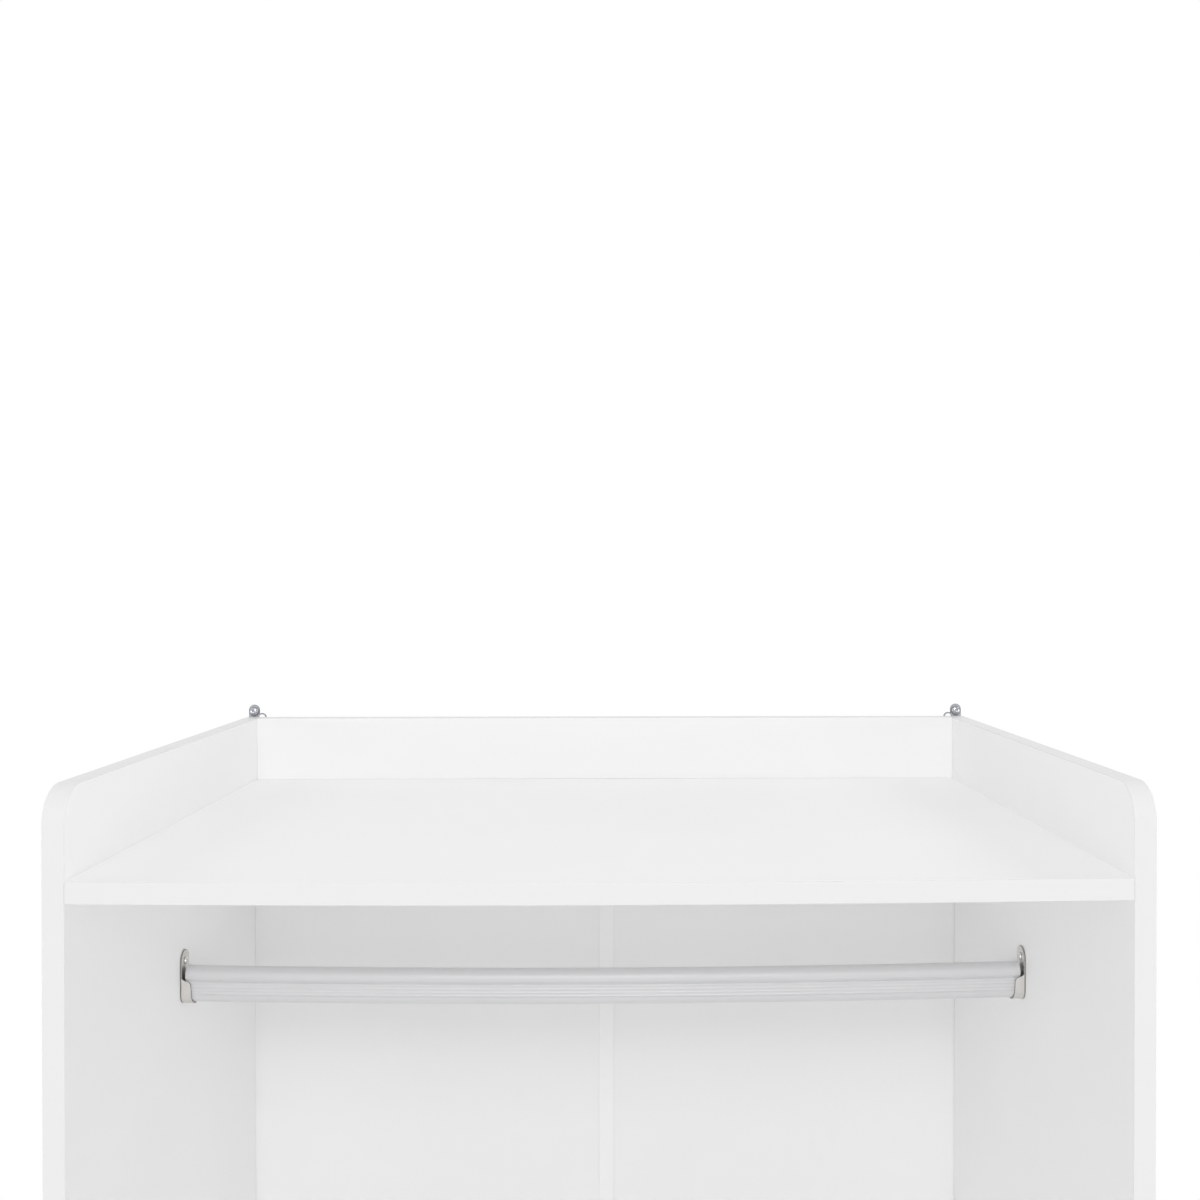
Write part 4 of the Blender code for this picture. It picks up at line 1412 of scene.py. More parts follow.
@dataclass
class RailFittings:
    """The oval clothes rail, its open-top cups and their screws."""

    sag: float = 4.0 * MM
    recess: float = 0.35 * MM
    recess_step: float = 0.04 * MM
    rib_pitch: float = 2.9 * MM
    rib_height: float = 0.30 * MM
    rib_share: float = 0.34
    rib_count: int = 4
    rib_drop: float = 2.1 * MM
    slot_depth: float = 1.2 * MM
    slot_floor: Point = (3.5 * MM, 4.9 * MM)
    slot_top: float = 5.6 * MM
    wall: float = 1.2 * MM
    bore_chamfer: float = 0.2 * MM
    stations: int = 48
    cup_steel: float = 1.2 * MM
    cup_bore: float = 2.05 * MM
    cup_rim_rise: float = 6.4 * MM
    cup_rim_fall: float = 2.2 * MM
    cup_corner: float = 4.6 * MM
    cup_flare: float = 1.5 * MM
    cup_flare_power: float = 3.0
    cup_arris: float = 0.22 * MM
    plate_arris: float = 0.42 * MM

    def build(self) -> None:
        """Builds the rail, both cups and both screws."""
        self.build_rail()
        for side, sign in SIDES.items():
            self.build_cup(side, sign)
            Screw(f"rail_cup_screw_{side}", Vector((-sign, 0, 0))).build()

    def rail_section(self, width: float, height: float) -> list[Point]:
        """Section of the rail round its middle, with a slot and a ribbed band on both flanks.

        Args:
            width: The rail's width, front to rear.
            height: Its height.

        Returns:
            The section's points, each a distance back and a height.
        """
        half = width / 2
        straight = height / 2 - half
        base, floor = half - self.recess, half - self.slot_depth
        flank: list[Point] = [(half, -straight), (base, -straight + self.recess_step)]
        first = -self.rib_drop - (self.rib_count - 1) / 2 * self.rib_pitch
        wide = self.rib_share * self.rib_pitch
        for i in range(self.rib_count):
            middle = first + i * self.rib_pitch
            flank += [
                (base + self.rib_height * math.cos(t) ** 2, middle + wide * t / (math.pi / 2))
                for t in (math.pi / 8 * k - math.pi / 2 for k in range(9))
            ]
        flank += [(floor, z) for z in self.slot_floor]
        flank += [(half, self.slot_top), (half, straight)]
        top = arc_points((0, straight), half, 0, 180, 24)[1:-1]
        other = [(-y, z) for y, z in reversed(flank)]
        bottom = arc_points((0, -straight), half, 180, 360, 24)[1:-1]
        return [*flank, *top, *other, *bottom]

    def build_rail(self) -> None:
        """Builds the rail, which has bent a little under the clothes that it has carried."""
        node = "clothes_rail"
        low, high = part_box(node)
        centre = (low + high) / 2
        width, height = high.y - low.y, high.z - low.z
        outside = self.rail_section(width, height)
        scale_y = (width / 2 - self.wall) / (width / 2)
        scale_z = (height / 2 - self.wall) / (height / 2)
        inside = [(y * scale_y, z * scale_z) for y, z in outside]
        edge = self.bore_chamfer
        length = high.x - low.x
        bm = bmesh.new()

        def ring(section: Sequence[Point], x: float, shrink: float) -> list:
            """A ring of the section at one station, lowered by the sag there.

            Args:
                section: The section's points.
                x: The station.
                shrink: The share of its size that the section has there.

            Returns:
                The ring's vertices.
            """
            share = (x - centre.x) / (length / 2)
            drop = self.sag * (1 - share * share)
            return [
                bm.verts.new((x, centre.y + y * shrink, centre.z + z * shrink - drop))
                for y, z in section
            ]

        places = [low.x + edge + (length - 2 * edge) * i / self.stations
                  for i in range(self.stations + 1)]  # fmt: skip
        slim = 1 - edge / (width / 2)
        outer = [ring(outside, low.x, slim)]
        outer += [ring(outside, x, 1.0) for x in places]
        outer.append(ring(outside, high.x, slim))
        inner = [ring(inside, x, 1.0) for x in (low.x, *places, high.x)]
        loop = outer + list(reversed(inner))
        for first, second in zip(loop, [*loop[1:], loop[0]]):
            bridge(bm, first, second)
        rail = make_object(f"{node}_tube", bm, (ANODISED,))
        stand_for(rail, node)

    def build_cup(self, side: str, sign: int) -> None:
        """Builds a pressed cup: a plate with a screw ear, and a wall that carries the rail.

        Args:
            side: left or right.
            sign: -1 on the left and 1 on the right.
        """
        node = f"rail_cup_{side}"
        low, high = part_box(node)
        plate_x = high.x if sign > 0 else low.x
        free_x = low.x if sign > 0 else high.x
        centre_y = (low.y + high.y) / 2
        radius = (high.y - low.y) / 2
        arc_z = low.z + radius
        outline = arc_points((centre_y, high.z - radius), radius, 0, 180, 24)
        outline += arc_points((centre_y, arc_z), radius, 180, 360, 24)
        bm = bmesh.new()
        span = (plate_x - sign * self.cup_steel, plate_x)
        add_plate(bm, outline, "X", span, self.plate_arris, edge_slot=1)
        cup = make_object(f"{node}_pressing", bm, (NICKEL, SHEARED_EDGE))
        screw_low, screw_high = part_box(f"rail_cup_screw_{side}")
        rail_low, rail_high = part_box("clothes_rail")
        rim_z = (rail_low.z + rail_high.z) / 2 + self.cup_rim_rise
        hole = bmesh.new()
        screw_z = (screw_low.z + screw_high.z) / 2
        bore = self.cup_bore
        add_turned(
            hole,
            [(-PAST, 0), (-PAST, bore), (PAST, bore), (PAST, 0)],
            Vector((plate_x, centre_y, screw_z)),
            Vector((sign, 0, 0)),
        )
        shape_with(cup, "DIFFERENCE", [hole])
        wall = self.cup_wall(
            sign, plate_x - sign * self.cup_steel / 2, free_x, centre_y, arc_z, radius, rim_z
        )
        weld(cup, wall)
        stand_for(cup, node)

    def cup_wall(
        self,
        sign: int,
        root_x: float,
        free_x: float,
        centre_y: float,
        arc_z: float,
        radius: float,
        rim_z: float,
    ) -> bpy.types.Object:
        """The wall of a cup: a U of sheet whose rim falls and turns down into its free edge.

        Args:
            sign: -1 on the left and 1 on the right.
            root_x: Where the wall leaves the plate.
            free_x: Where its free edge ends at the bottom.
            centre_y: The middle of the U.
            arc_z: The height of the centre of its round bottom.
            radius: Its outer radius.
            rim_z: The height of its rim at the plate.

        Returns:
            The wall as a helper object, closed and with rounded edges.
        """
        edge_x = abs(free_x) + self.cup_flare
        turn_x = edge_x + self.cup_corner
        span = abs(root_x) - turn_x
        rims = [
            (abs(root_x) - span * i / 6, rim_z - self.cup_rim_fall * i / 6) for i in range(7)
        ]
        low_rim = rim_z - self.cup_rim_fall
        rims += [
            (turn_x - self.cup_corner * math.sin(t), low_rim - self.cup_corner * (1 - math.cos(t)))
            for t in (math.pi / 2 * i / 8 for i in range(1, 9))
        ]
        bm = bmesh.new()
        stations = []
        for depth, top in rims:
            reach = (abs(root_x) - depth) / (abs(root_x) - edge_x)
            lean = self.cup_flare * max(0.0, reach)
            ring = []
            for wall_radius, back in ((radius, False), (radius - self.cup_steel, True)):
                path = self.wall_path(centre_y, arc_z, wall_radius, top)
                for y, z in reversed(path) if back else path:
                    low_share = min(1.0, max(0.0, (low_rim - z) / (low_rim - arc_z + radius)))
                    x = sign * (depth - lean * low_share**self.cup_flare_power)
                    ring.append(bm.verts.new((x, y, z)))
            stations.append(ring)
        rims_at = (len(stations[0]) // 2 - 1, len(stations[0]) - 1)
        for first, second in zip(stations, stations[1:]):
            bridge(bm, first, second)
            bm.faces.ensure_lookup_table()
            for i in rims_at:
                bm.faces[i - len(first)].material_index = 1
        bm.faces.new(stations[0])
        bm.faces.new(stations[-1]).material_index = 1
        wall = make_object("cup_wall", bm, ())
        soften(wall, self.cup_arris, segments=2, angle=50)
        return wall

    def wall_path(
        self, centre_y: float, arc_z: float, radius: float, top: float
    ) -> list[Point]:
        """The path of the wall in YZ from its front rim round the bottom to its rear rim.

        Args:
            centre_y: The middle of the U.
            arc_z: The height of its round bottom's centre.
            radius: The radius of its bottom.
            top: The height of its rims.

        Returns:
            The path's points, each a distance back and a height.
        """
        rise = [(centre_y - radius, arc_z + (top - arc_z) * (1 - i / 5)) for i in range(5)]
        bend = arc_points((centre_y, arc_z), radius, 180, 360, 24)
        fall = [(centre_y + radius, arc_z + (top - arc_z) * (i + 1) / 5) for i in range(5)]
        return [*rise, *bend, *fall]


@dataclass
class WallHangers:
    """The pressed plates on the rear edges, with their strap eyes, bolts and screws."""

    arris: float = 0.5 * MM
    eye_hole: float = 3.3 * MM
    eye_rim: float = 1.4 * MM
    eye_drop: float = 0.8 * MM
    plate_width: float = 11 * MM
    washer_radius: float = 5.0 * MM
    washer: float = 0.6 * MM
    washer_bore: float = 2.2 * MM
    washer_arris: float = 0.12 * MM
    washer_gap: float = 0.05 * MM
    bolt_hole: float = 2.2 * MM
    screw_hole: float = 2.0 * MM
    bolt_shank: float = 1.8 * MM
    tail_radius: float = 2.8 * MM
    tail_gap: float = 0.3 * MM
    tail_edge: float = 0.5 * MM
    tail_taper: float = 0.7
    cross_share: float = 0.45
    cross_width: float = 0.9 * MM
    cross_depth: float = 1.1 * MM
    dome_steps: int = 9

    def build(self) -> None:
        """Builds the hanger, bolt and screw of both sides."""
        for side, sign in SIDES.items():
            self.build_plate(side, sign)
            self.build_bolt(side)
            Screw(f"wall_hanger_screw_{side}", Vector((0, 1, 0)), ZINC).build()

    def build_plate(self, side: str, sign: int) -> None:
        """Builds a hanger: an upright plate with a ring for a strap beside its top.

        Args:
            side: left or right.
            sign: -1 on the left and 1 on the right.
        """
        node = f"wall_hanger_{side}"
        low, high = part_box(node)
        outer_x = high.x if sign > 0 else low.x
        inner_x = low.x if sign > 0 else high.x
        half = self.plate_width / 2
        top = high.z
        middle = outer_x - sign * half
        side_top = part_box(f"side_panel_{side}")[1].z
        eye = (inner_x + sign * (self.eye_hole + self.eye_rim), side_top - self.eye_drop)
        outline = arc_points((middle, top - half), half, 0, 180, 24)
        outline += arc_points((middle, low.z + half), half, 180, 360, 24)
        span = (low.y, high.y)
        bm = bmesh.new()
        add_plate(bm, outline, "Y", span, self.arris, edge_slot=1)
        plate = make_object(f"{node}_pressing", bm, (DULL_ZINC, HANGER_EDGE))
        ring = bmesh.new()
        circle = arc_points(eye, self.eye_hole + self.eye_rim, 0, 350, 35)
        add_plate(ring, circle, "Y", span, self.arris, edge_slot=1)
        shape_with(plate, "UNION", [ring])
        holes = [self.hole(eye, low.y, self.eye_hole)]
        for kind, radius in (("bolt", self.bolt_hole), ("screw", self.screw_hole)):
            fast_low, fast_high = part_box(f"wall_hanger_{kind}_{side}")
            at = (middle, (fast_low.z + fast_high.z) / 2)
            holes.append(self.hole(at, low.y, radius))
        shape_with(plate, "DIFFERENCE", holes)
        stand_for(plate, node)

    def hole(self, at: Point, y: float, radius: float) -> bmesh.types.BMesh:
        """A round hole through the plate, as a cutter.

        Args:
            at: The hole's place across the plate and its height.
            y: The plate's front face.
            radius: The hole's radius.

        Returns:
            The cutter's mesh.
        """
        bm = bmesh.new()
        add_turned(
            bm,
            [(-PAST, 0), (-PAST, radius), (PAST, radius), (PAST, 0)],
            Vector((at[0], y, at[1])),
            Vector((0, 1, 0)),
        )
        return bm

    def build_bolt(self, side: str) -> None:
        """Builds the round-headed bolt of a hanger with its washer, its tail spread behind.

        Args:
            side: left or right.
        """
        node = f"wall_hanger_bolt_{side}"
        low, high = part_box(node)
        plate_low, plate_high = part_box(f"wall_hanger_{side}")
        centre = (low + high) / 2
        radius = (high.x - low.x) / 2
        head = plate_low.y - self.washer_gap - self.washer - low.y
        tail_start = plate_high.y + self.tail_gap - low.y
        length = high.y - low.y
        shank, tail = self.bolt_shank, self.tail_radius
        profile = dome_points(head, radius, self.dome_steps)
        profile += [(head + HEAD_EDGE, shank), (tail_start, shank), (tail_start, tail)]
        profile += [(tail_start + self.tail_edge, tail), (length, tail * self.tail_taper)]
        profile.append((length, 0))
        bm = bmesh.new()
        start = Vector((centre.x, low.y, centre.z))
        add_turned(bm, profile, start, Vector((0, 1, 0)), steps=36)
        bolt = make_object(f"{node}_piece", bm, (OILED_STEEL,))
        reach = radius * self.cross_share
        front = Vector((0, -1, 0))
        cutter = cross_cutter(start, front, reach, self.cross_width, self.cross_depth)
        shape_with(bolt, "DIFFERENCE", [cutter])
        stand_for(bolt, node)
        self.build_washer(side, Vector((centre.x, low.y + head, centre.z)))

    def build_washer(self, side: str, front: Vector) -> None:
        """Builds the washer under a bolt's head.

        Args:
            side: left or right.
            front: The middle of its front face.
        """
        outer, inner = self.washer_radius, self.washer_bore
        thick, edge = self.washer, self.washer_arris
        loop = [(edge, inner), (0, inner + edge), (0, outer - edge), (edge, outer)]
        loop += [(thick - edge, outer), (thick, outer - edge), (thick, inner + edge)]
        loop += [(thick - edge, inner), (edge, inner)]
        bm = bmesh.new()
        add_turned(bm, loop, front, Vector((0, 1, 0)), steps=40)
        bmesh.ops.remove_doubles(bm, verts=bm.verts, dist=1e-7)
        node = f"wall_hanger_bolt_{side}"
        # The washer's dark grey is partly painted shade round the bolt's head.
        go_with(make_object(f"{node}_washer", bm, (WASHER_STEEL_AND_SHADE,)), node)


@dataclass
class Drawer:
    """One drawer: its front with a finger grip, its box, and its ball slides."""

    name: str
    grip_width: float = 120 * MM
    grip_depth: float = 25 * MM
    grip_radius: float = 18 * MM
    lip_radius: float = 6 * MM
    lip_lean: float = 0.12 * MM
    bottom_arris: float = 0.25 * MM
    groove_depth: float = 6.5 * MM
    groove_gap: float = 0.3 * MM
    groove_past: float = 0.5 * MM
    joint_closer: float = 0.30 * MM

    def build(self) -> None:
        """Builds every piece of the drawer."""
        self.build_front()
        for side, sign in SIDES.items():
            board = Board(f"{self.name}_side_{side}", "X", closer_low=(0, self.joint_closer, 0))
            board.build(cuts=[self.side_groove(side, sign)])
            BallSlide(self.name, side, sign).build()
        ends = (self.joint_closer, 0, 0)
        Board(f"{self.name}_back", "Y", closer_low=ends, closer_high=ends).build()
        build_thin_panel(f"{self.name}_bottom", "Z", self.bottom_arris, coated_side=1)

    def build_front(self) -> None:
        """Builds the front, its grip cut through the top edge with rounded lips."""
        node = f"{self.name}_front"
        low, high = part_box(node)
        half = self.grip_width / 2
        floor_z = high.z - self.grip_depth
        small = Board.corner_radius
        outline = rounded_outline(
            [
                (low.x, low.z, small),
                (high.x, low.z, small),
                (high.x, high.z, small),
                (half + self.lip_lean, high.z, self.lip_radius),
                (half, floor_z, self.grip_radius),
                (-half, floor_z, self.grip_radius),
                (-half - self.lip_lean, high.z, self.lip_radius),
                (low.x, high.z, small),
            ],
            steps=14,
        )
        bottom_low, bottom_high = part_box(f"{self.name}_bottom")
        gap, past = self.groove_gap, self.groove_past
        groove_low = Vector((bottom_low.x - past, high.y - self.groove_depth, bottom_low.z - gap))
        groove_high = Vector((bottom_high.x + past, high.y + PAST, bottom_high.z + gap))
        groove = bmesh.new()
        add_box(groove, groove_low, groove_high, slot=BoardFace.CORE.value)
        Board(node, "Y").build(outline, [groove])

    def side_groove(self, side: str, sign: int) -> bmesh.types.BMesh:
        """The groove for the drawer bottom in a drawer side, as a cutter.

        Args:
            side: left or right.
            sign: -1 on the left and 1 on the right.

        Returns:
            The cutter's mesh.
        """
        low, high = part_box(f"{self.name}_side_{side}")
        bottom_low, bottom_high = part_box(f"{self.name}_bottom")
        inner = low.x if sign > 0 else high.x
        one = Vector((inner - sign * PAST, low.y - PAST, bottom_low.z - self.groove_gap))
        other = Vector(
            (inner + sign * self.groove_depth, high.y + PAST, bottom_high.z + self.groove_gap)
        )
        bm = bmesh.new()
        add_box(bm, *box_between(one, other), slot=BoardFace.CORE.value)
        return bm


@dataclass
class BallSlide:
    """The two members of a ball slide, the cage between them and its fixing screws."""

    drawer: str
    side: str
    sign: int
    steel: float = 1.2 * MM
    bend: float = 1.6 * MM
    lip: float = 2.0 * MM
    ball_radius: float = 2.1 * MM
    balls_per_row: int = 6
    screw_radius: float = 3.0 * MM
    hole_radius: float = 2.3 * MM
    hole_reach: float = 4 * MM
    flush_head: float = 0.2 * MM
    round_head: float = 0.9 * MM
    screw_shank: float = 1.7 * MM
    cross_size: float = 0.7 * MM
    sheared: float = 0.3 * MM
    end_arris: float = 0.15 * MM
    cage_steel: float = 0.6 * MM
    cage_bend: float = 0.8 * MM
    cage_edge: float = 0.15 * MM
    cage_arris: float = 0.1 * MM
    window_share: float = 1.08
    window_reach: float = 2 * MM
    dome_steps: int = 5
    screw_places: tuple[float, ...] = (0.08, 0.48, 0.92)

    def build(self) -> None:
        """Builds both members, the cage and the screws."""
        self.build_cabinet_member()
        self.build_drawer_member()
        self.build_cage()

    def member(
        self, node: str, outline: Sequence[Point], cuts: Iterable[bmesh.types.BMesh]
    ) -> None:
        """Extrudes a member's section along the slide and cuts its holes.

        Args:
            node: The member's node.
            outline: Its section.
            cuts: Its holes' cutters.
        """
        low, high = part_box(node)
        bm = bmesh.new()
        add_plate(bm, outline, "Y", (low.y, high.y), self.end_arris, steps=1)
        member = make_object(f"{node}_strip", bm, (ZINC_STRIP,))
        shape_with(member, "DIFFERENCE", cuts)
        stand_for(member, node)

    def build_cabinet_member(self) -> None:
        """Builds the channel on the side panel, its lips closing over the balls."""
        node = f"{self.drawer}_cabinet_slide_{self.side}"
        low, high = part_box(node)
        wall = high.x if self.sign > 0 else low.x
        face = low.x if self.sign > 0 else high.x
        inward = -self.sign
        steel, bend = self.steel, self.bend
        inner = bend - steel
        corners = [
            (wall, low.z, bend),
            (face, low.z, bend),
            (face, low.z + steel + self.lip, self.sheared),
            (face - inward * steel, low.z + steel + self.lip, self.sheared),
            (face - inward * steel, low.z + steel, inner),
            (wall + inward * steel, low.z + steel, inner),
            (wall + inward * steel, high.z - steel, inner),
            (face - inward * steel, high.z - steel, inner),
            (face - inward * steel, high.z - steel - self.lip, self.sheared),
            (face, high.z - steel - self.lip, self.sheared),
            (face, high.z, bend),
            (wall, high.z, bend),
        ]
        self.member(node, rounded_outline(corners, 5), self.holes(node, wall))
        self.add_screws(node, wall + inward * steel, Vector((inward, 0, 0)), self.flush_head)

    def build_drawer_member(self) -> None:
        """Builds the channel on the drawer side, which opens towards the balls."""
        node = f"{self.drawer}_drawer_slide_{self.side}"
        low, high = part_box(node)
        tip = high.x if self.sign > 0 else low.x
        face = low.x if self.sign > 0 else high.x
        inward = -self.sign
        steel, bend = self.steel, self.bend
        inner = bend - steel
        corners = [
            (tip, low.z, self.sheared),
            (face, low.z, bend),
            (face, high.z, bend),
            (tip, high.z, self.sheared),
            (tip, high.z - steel, self.sheared),
            (face - inward * steel, high.z - steel, inner),
            (face - inward * steel, low.z + steel, inner),
            (tip, low.z + steel, self.sheared),
        ]
        self.member(node, rounded_outline(corners, 5), self.holes(node, face))
        self.add_screws(node, face - inward * steel, Vector((-inward, 0, 0)), self.round_head)

    def screw_points(self, node: str) -> list[Point]:
        """Distance back and height of the fixing screws of a member.

        Args:
            node: The member's node.

        Returns:
            A place for each screw.
        """
        low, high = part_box(node)
        middle = (low.z + high.z) / 2
        return [(low.y + (high.y - low.y) * share, middle) for share in self.screw_places]

    def holes(self, node: str, web_x: float) -> list[bmesh.types.BMesh]:
        """The fixing holes in a member's web, as cutters.

        Args:
            node: The member's node.
            web_x: Where the web stands.

        Returns:
            The cutters' meshes.
        """
        cutters = []
        for y, z in self.screw_points(node):
            bm = bmesh.new()
            radius, reach = self.hole_radius, self.hole_reach
            add_turned(
                bm,
                [(-reach, 0), (-reach, radius), (reach, radius), (reach, 0)],
                Vector((web_x, y, z)),
                Vector((1, 0, 0)),
                steps=20,
            )
            cutters.append(bm)
        return cutters

    def add_screws(self, node: str, web_x: float, outward: Vector, rise: float) -> None:
        """Adds the fixing screws of a member, flat where the cage has to pass over them.

        Args:
            node: The member's node.
            web_x: The face of its web that the heads stand on.
            outward: The way in which the heads look.
            rise: How far they stand over the web.
        """
        for i, (y, z) in enumerate(self.screw_points(node)):
            top = Vector((web_x, y, z)) + outward * rise
            shank, length = self.screw_shank, rise + self.steel
            profile = dome_points(rise, self.screw_radius, self.dome_steps)
            profile += [(rise + HEAD_EDGE, shank), (length, shank), (length, 0)]
            bm = bmesh.new()
            add_turned(bm, profile, top, -outward)
            screw = make_object(f"{node}_screw_{i}", bm, (ZINC,))
            reach, size = self.screw_radius / 2, self.cross_size
            cutter = cross_cutter(top, outward, reach, size, size)
            shape_with(screw, "DIFFERENCE", [cutter])
            go_with(screw, node)

    def build_cage(self) -> None:
        """Builds the cage, with a round window for each ball, and the balls."""
        node = f"{self.drawer}_ball_cage_{self.side}"
        low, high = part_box(node)
        web_x = high.x if self.sign > 0 else low.x
        tip_x = low.x if self.sign > 0 else high.x
        inward = -self.sign
        steel, bend, edge = self.cage_steel, self.cage_bend, self.cage_edge
        middle = (low.z + high.z) / 2
        row = (high.z - low.z) / 2 - self.ball_radius
        top = row + steel / 2
        corners = [
            (web_x, middle + top, bend),
            (tip_x, middle + top, edge),
            (tip_x, middle + top - steel, edge),
            (web_x + inward * steel, middle + top - steel, 2 * edge),
            (web_x + inward * steel, middle - top + steel, 2 * edge),
            (tip_x, middle - top + steel, edge),
            (tip_x, middle - top, edge),
            (web_x, middle - top, bend),
        ]
        ball_x = (web_x + tip_x) / 2
        pitch = (high.y - low.y) / self.balls_per_row
        places = [
            Vector((ball_x, low.y + (i + 0.5) * pitch, middle + sign * row))
            for sign in (-1, 1)
            for i in range(self.balls_per_row)
        ]
        windows = []
        balls = bmesh.new()
        for place in places:
            cutter = bmesh.new()
            radius, reach = self.ball_radius * self.window_share, self.window_reach
            add_turned(
                cutter,
                [(-reach, 0), (-reach, radius), (reach, radius), (reach, 0)],
                place,
                UP,
                steps=24,
            )
            windows.append(cutter)
            half_round = arc_points((0, 0), self.ball_radius, 180, 0, 12)
            ends = [(half_round[0][0], 0.0), *half_round[1:-1], (half_round[-1][0], 0.0)]
            add_turned(balls, ends, place, Vector((1, 0, 0)), steps=24)
        bm = bmesh.new()
        add_plate(bm, rounded_outline(corners, 4), "Y", (low.y, high.y), self.cage_arris, steps=1)
        cage = make_object(f"{node}_strip", bm, (ZINC_STRIP,))
        shape_with(cage, "DIFFERENCE", windows)
        stand_for(cage, node)
        go_with(make_object(f"{node}_balls", balls, (BALL_STEEL,)), node)


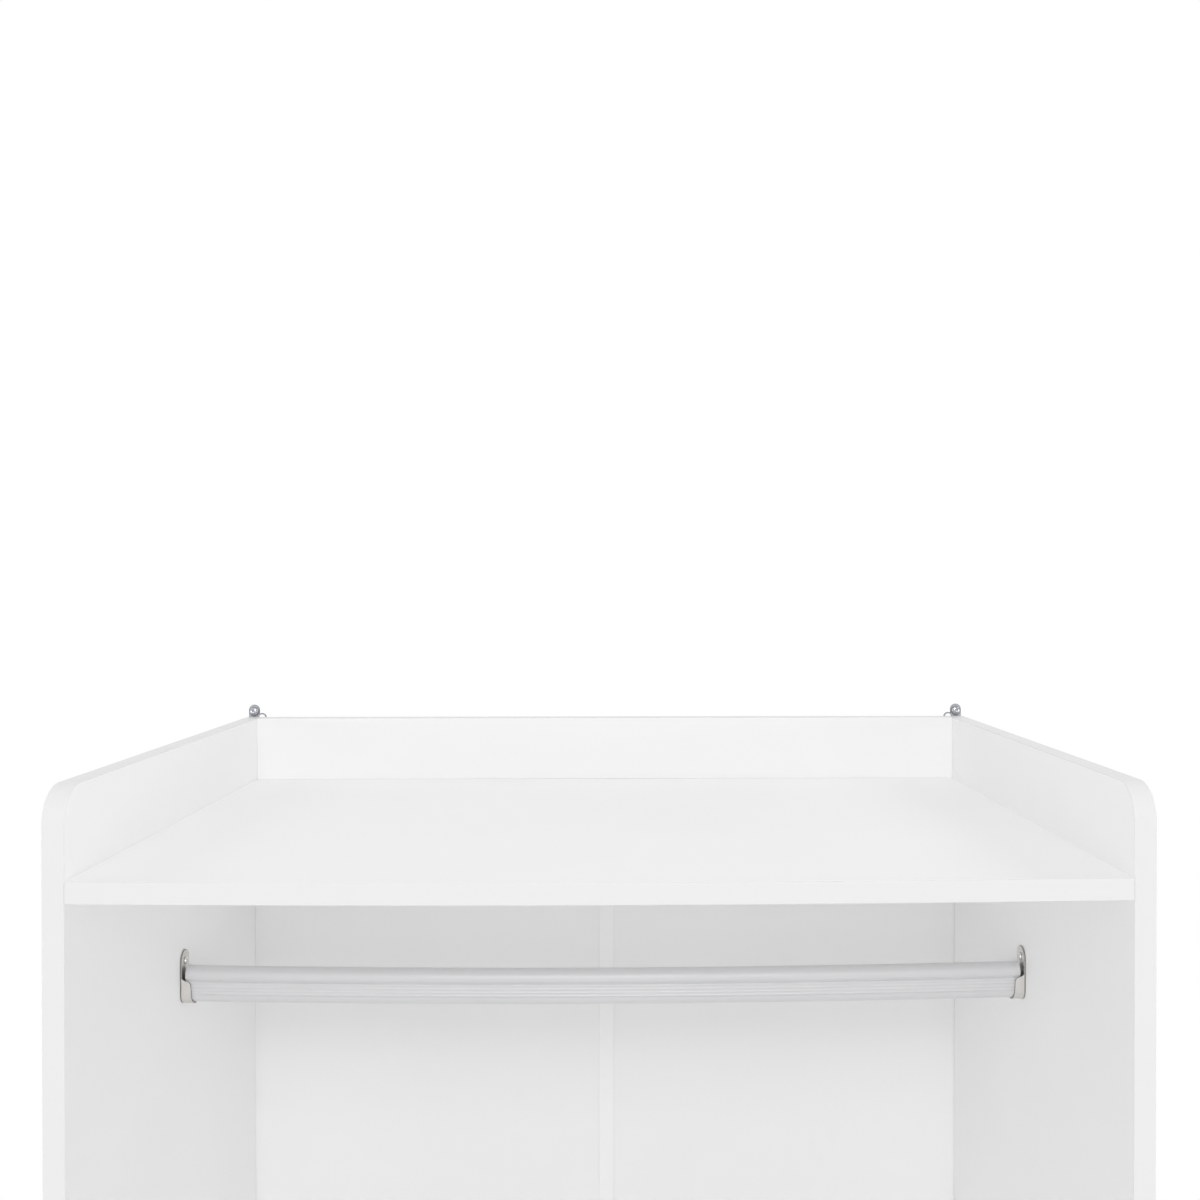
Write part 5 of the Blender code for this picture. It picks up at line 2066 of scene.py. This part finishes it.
@dataclass
class Studio:
    """The camera at the photograph's place, a pale floor, soft lamps and a white surround."""

    image_px: float = 1200
    focal_px: float = 1213.04
    centre_x_px: float = 631.9
    eye: tuple[float, float, float] = (6.3 * MM, -1028.4 * MM, 1329.9 * MM)
    look_down: float = 0.00767
    look_right: float = 0.01587
    floor_size: float = 30.0
    floor_fade: Point = (1.1, 2.0)
    floor_colour: str = "#EFEFEF"
    floor_roughness: float = 0.7
    surround: float = 0.68
    lamp_distance: float = 3.4
    lamp_aim: float = 1.0

    def build(self) -> None:
        """Builds the camera, the floor, the lamps and the world."""
        self.build_camera()
        self.build_floor()
        self.build_lamps()
        self.build_world()

    def build_camera(self) -> None:
        """Sets the camera as fitted to the object's edges in the photograph."""
        data = bpy.data.cameras.new("camera")
        data.lens = data.sensor_width * self.focal_px / self.image_px
        data.shift_x = (self.image_px / 2 - self.centre_x_px) / self.image_px
        data.clip_start = 10 * MM
        camera = bpy.data.objects.new("camera", data)
        camera.location = self.eye
        camera.rotation_euler = (math.pi / 2 - self.look_down, 0, -self.look_right)
        bpy.context.scene.collection.objects.link(camera)
        bpy.context.scene.camera = camera

    def build_floor(self) -> None:
        """Makes a matt pale floor that keeps the shadow and fades to white away from the object."""
        half = self.floor_size / 2
        bm = bmesh.new()
        bm.faces.new([bm.verts.new((x, y, 0)) for x, y in
                      ((-half, -half), (half, -half), (half, half), (-half, half))])  # fmt: skip
        mesh = bpy.data.meshes.new("floor")
        bm.to_mesh(mesh)
        bm.free()
        floor = bpy.data.objects.new("floor", mesh)
        bpy.context.scene.collection.objects.link(floor)
        mesh.materials.append(self.floor_material())

    def floor_material(self) -> bpy.types.Material:
        """Matt white paint near the object, and plain white for the camera farther off.

        Returns:
            The floor's material.
        """
        made = bpy.data.materials.new("matt_floor_paint")
        made.use_nodes = True
        tree = made.node_tree
        shader = tree.nodes["Principled BSDF"]
        shader.inputs["Base Color"].default_value = linear(self.floor_colour)
        shader.inputs["Roughness"].default_value = self.floor_roughness
        place = add_node(tree, "ShaderNodeTexCoord").outputs["Object"]
        distance = add_node(
            tree, "ShaderNodeVectorMath", {0: place}, operation="LENGTH"
        ).outputs["Value"]
        far = add_node(
            tree,
            "ShaderNodeMapRange",
            {"Value": distance, "From Min": self.floor_fade[0], "From Max": self.floor_fade[1]},
            interpolation_type="SMOOTHSTEP",
        ).outputs["Result"]
        seen = self.seen_directly(tree)
        share = add_node(
            tree, "ShaderNodeMath", {0: far, 1: seen}, operation="MULTIPLY"
        ).outputs["Value"]
        white = add_node(tree, "ShaderNodeEmission", {"Color": linear("#FFFFFF")})
        mixed = add_node(
            tree,
            "ShaderNodeMixShader",
            {"Fac": share, 1: shader.outputs["BSDF"], 2: white.outputs["Emission"]},
        )
        tree.links.new(mixed.outputs["Shader"], tree.nodes["Material Output"].inputs["Surface"])
        return made

    def seen_directly(self, tree: bpy.types.NodeTree) -> bpy.types.NodeSocket:
        """1 for what the camera sees, also in metal and through glass, and 0 for light.

        Args:
            tree: The node tree to add to.

        Returns:
            The socket that gives 1 or 0.
        """
        path = add_node(tree, "ShaderNodeLightPath")
        first = add_node(
            tree,
            "ShaderNodeMath",
            {0: path.outputs["Is Camera Ray"], 1: path.outputs["Is Glossy Ray"]},
            operation="MAXIMUM",
        )
        return add_node(
            tree,
            "ShaderNodeMath",
            {0: first.outputs["Value"], 1: path.outputs["Is Transmission Ray"]},
            operation="MAXIMUM",
        ).outputs["Value"]

    def build_lamps(self) -> None:
        """Hangs soft lamps round the front, each with its turn, rise, size and power."""
        aim = Vector((0, 0, self.lamp_aim))
        lamps: dict[str, tuple[float, float, float, float]] = {
            "front_softbox": (0, 12, 0.9, 6.9),
            "key_softbox": (0, 30, 0.9, 19.9),
            "left_softbox": (-60, 0, 0.9, 12.3),
            "right_softbox": (60, 0, 0.9, 13.9),
            "left_rear_softbox": (-100, 35, 1.2, 7.4),
            "right_rear_softbox": (100, 35, 1.2, 11.3),
            "overhead_softbox": (0, 80, 2.1, 5.9),
        }
        for name, (turn, rise, size, power) in lamps.items():
            turn, rise = math.radians(turn), math.radians(rise)
            level = math.cos(rise)
            way = Vector((math.sin(turn) * level, -math.cos(turn) * level, math.sin(rise)))
            data = bpy.data.lights.new(name, "AREA")
            data.shape = "SQUARE"
            data.size = size
            data.energy = power
            lamp = bpy.data.objects.new(name, data)
            lamp.location = aim + way * self.lamp_distance
            lamp.rotation_euler = way.to_track_quat("Z", "Y").to_euler()
            bpy.context.scene.collection.objects.link(lamp)

    def build_world(self) -> None:
        """Surrounds the object with white as seen, and with a softer white as light."""
        world = bpy.data.worlds.new("studio_surround")
        bpy.context.scene.world = world
        world.use_nodes = True
        tree = world.node_tree
        strength = add_node(
            tree,
            "ShaderNodeMapRange",
            {"Value": self.seen_directly(tree), "To Min": self.surround, "To Max": 1.0},
        )
        background = tree.nodes["Background"]
        background.inputs["Color"].default_value = linear("#FFFFFF")
        tree.links.new(strength.outputs["Result"], background.inputs["Strength"])


def main() -> None:
    logging.basicConfig(level=logging.INFO, format="%(name)s: %(message)s")
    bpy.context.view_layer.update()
    bpy.context.scene.view_settings.view_transform = "Standard"
    bpy.context.scene.cycles.diffuse_bounces = DIFFUSE_BOUNCES
    assemblies: list = [Carcass(), Back(), RailFittings(), WallHangers()]
    assemblies += [Drawer(name) for name in DRAWERS]
    for assembly in assemblies:
        assembly.build()
        LOG.info("%s done", type(assembly).__name__)
    Studio().build()


if __name__ == "__main__":
    main()
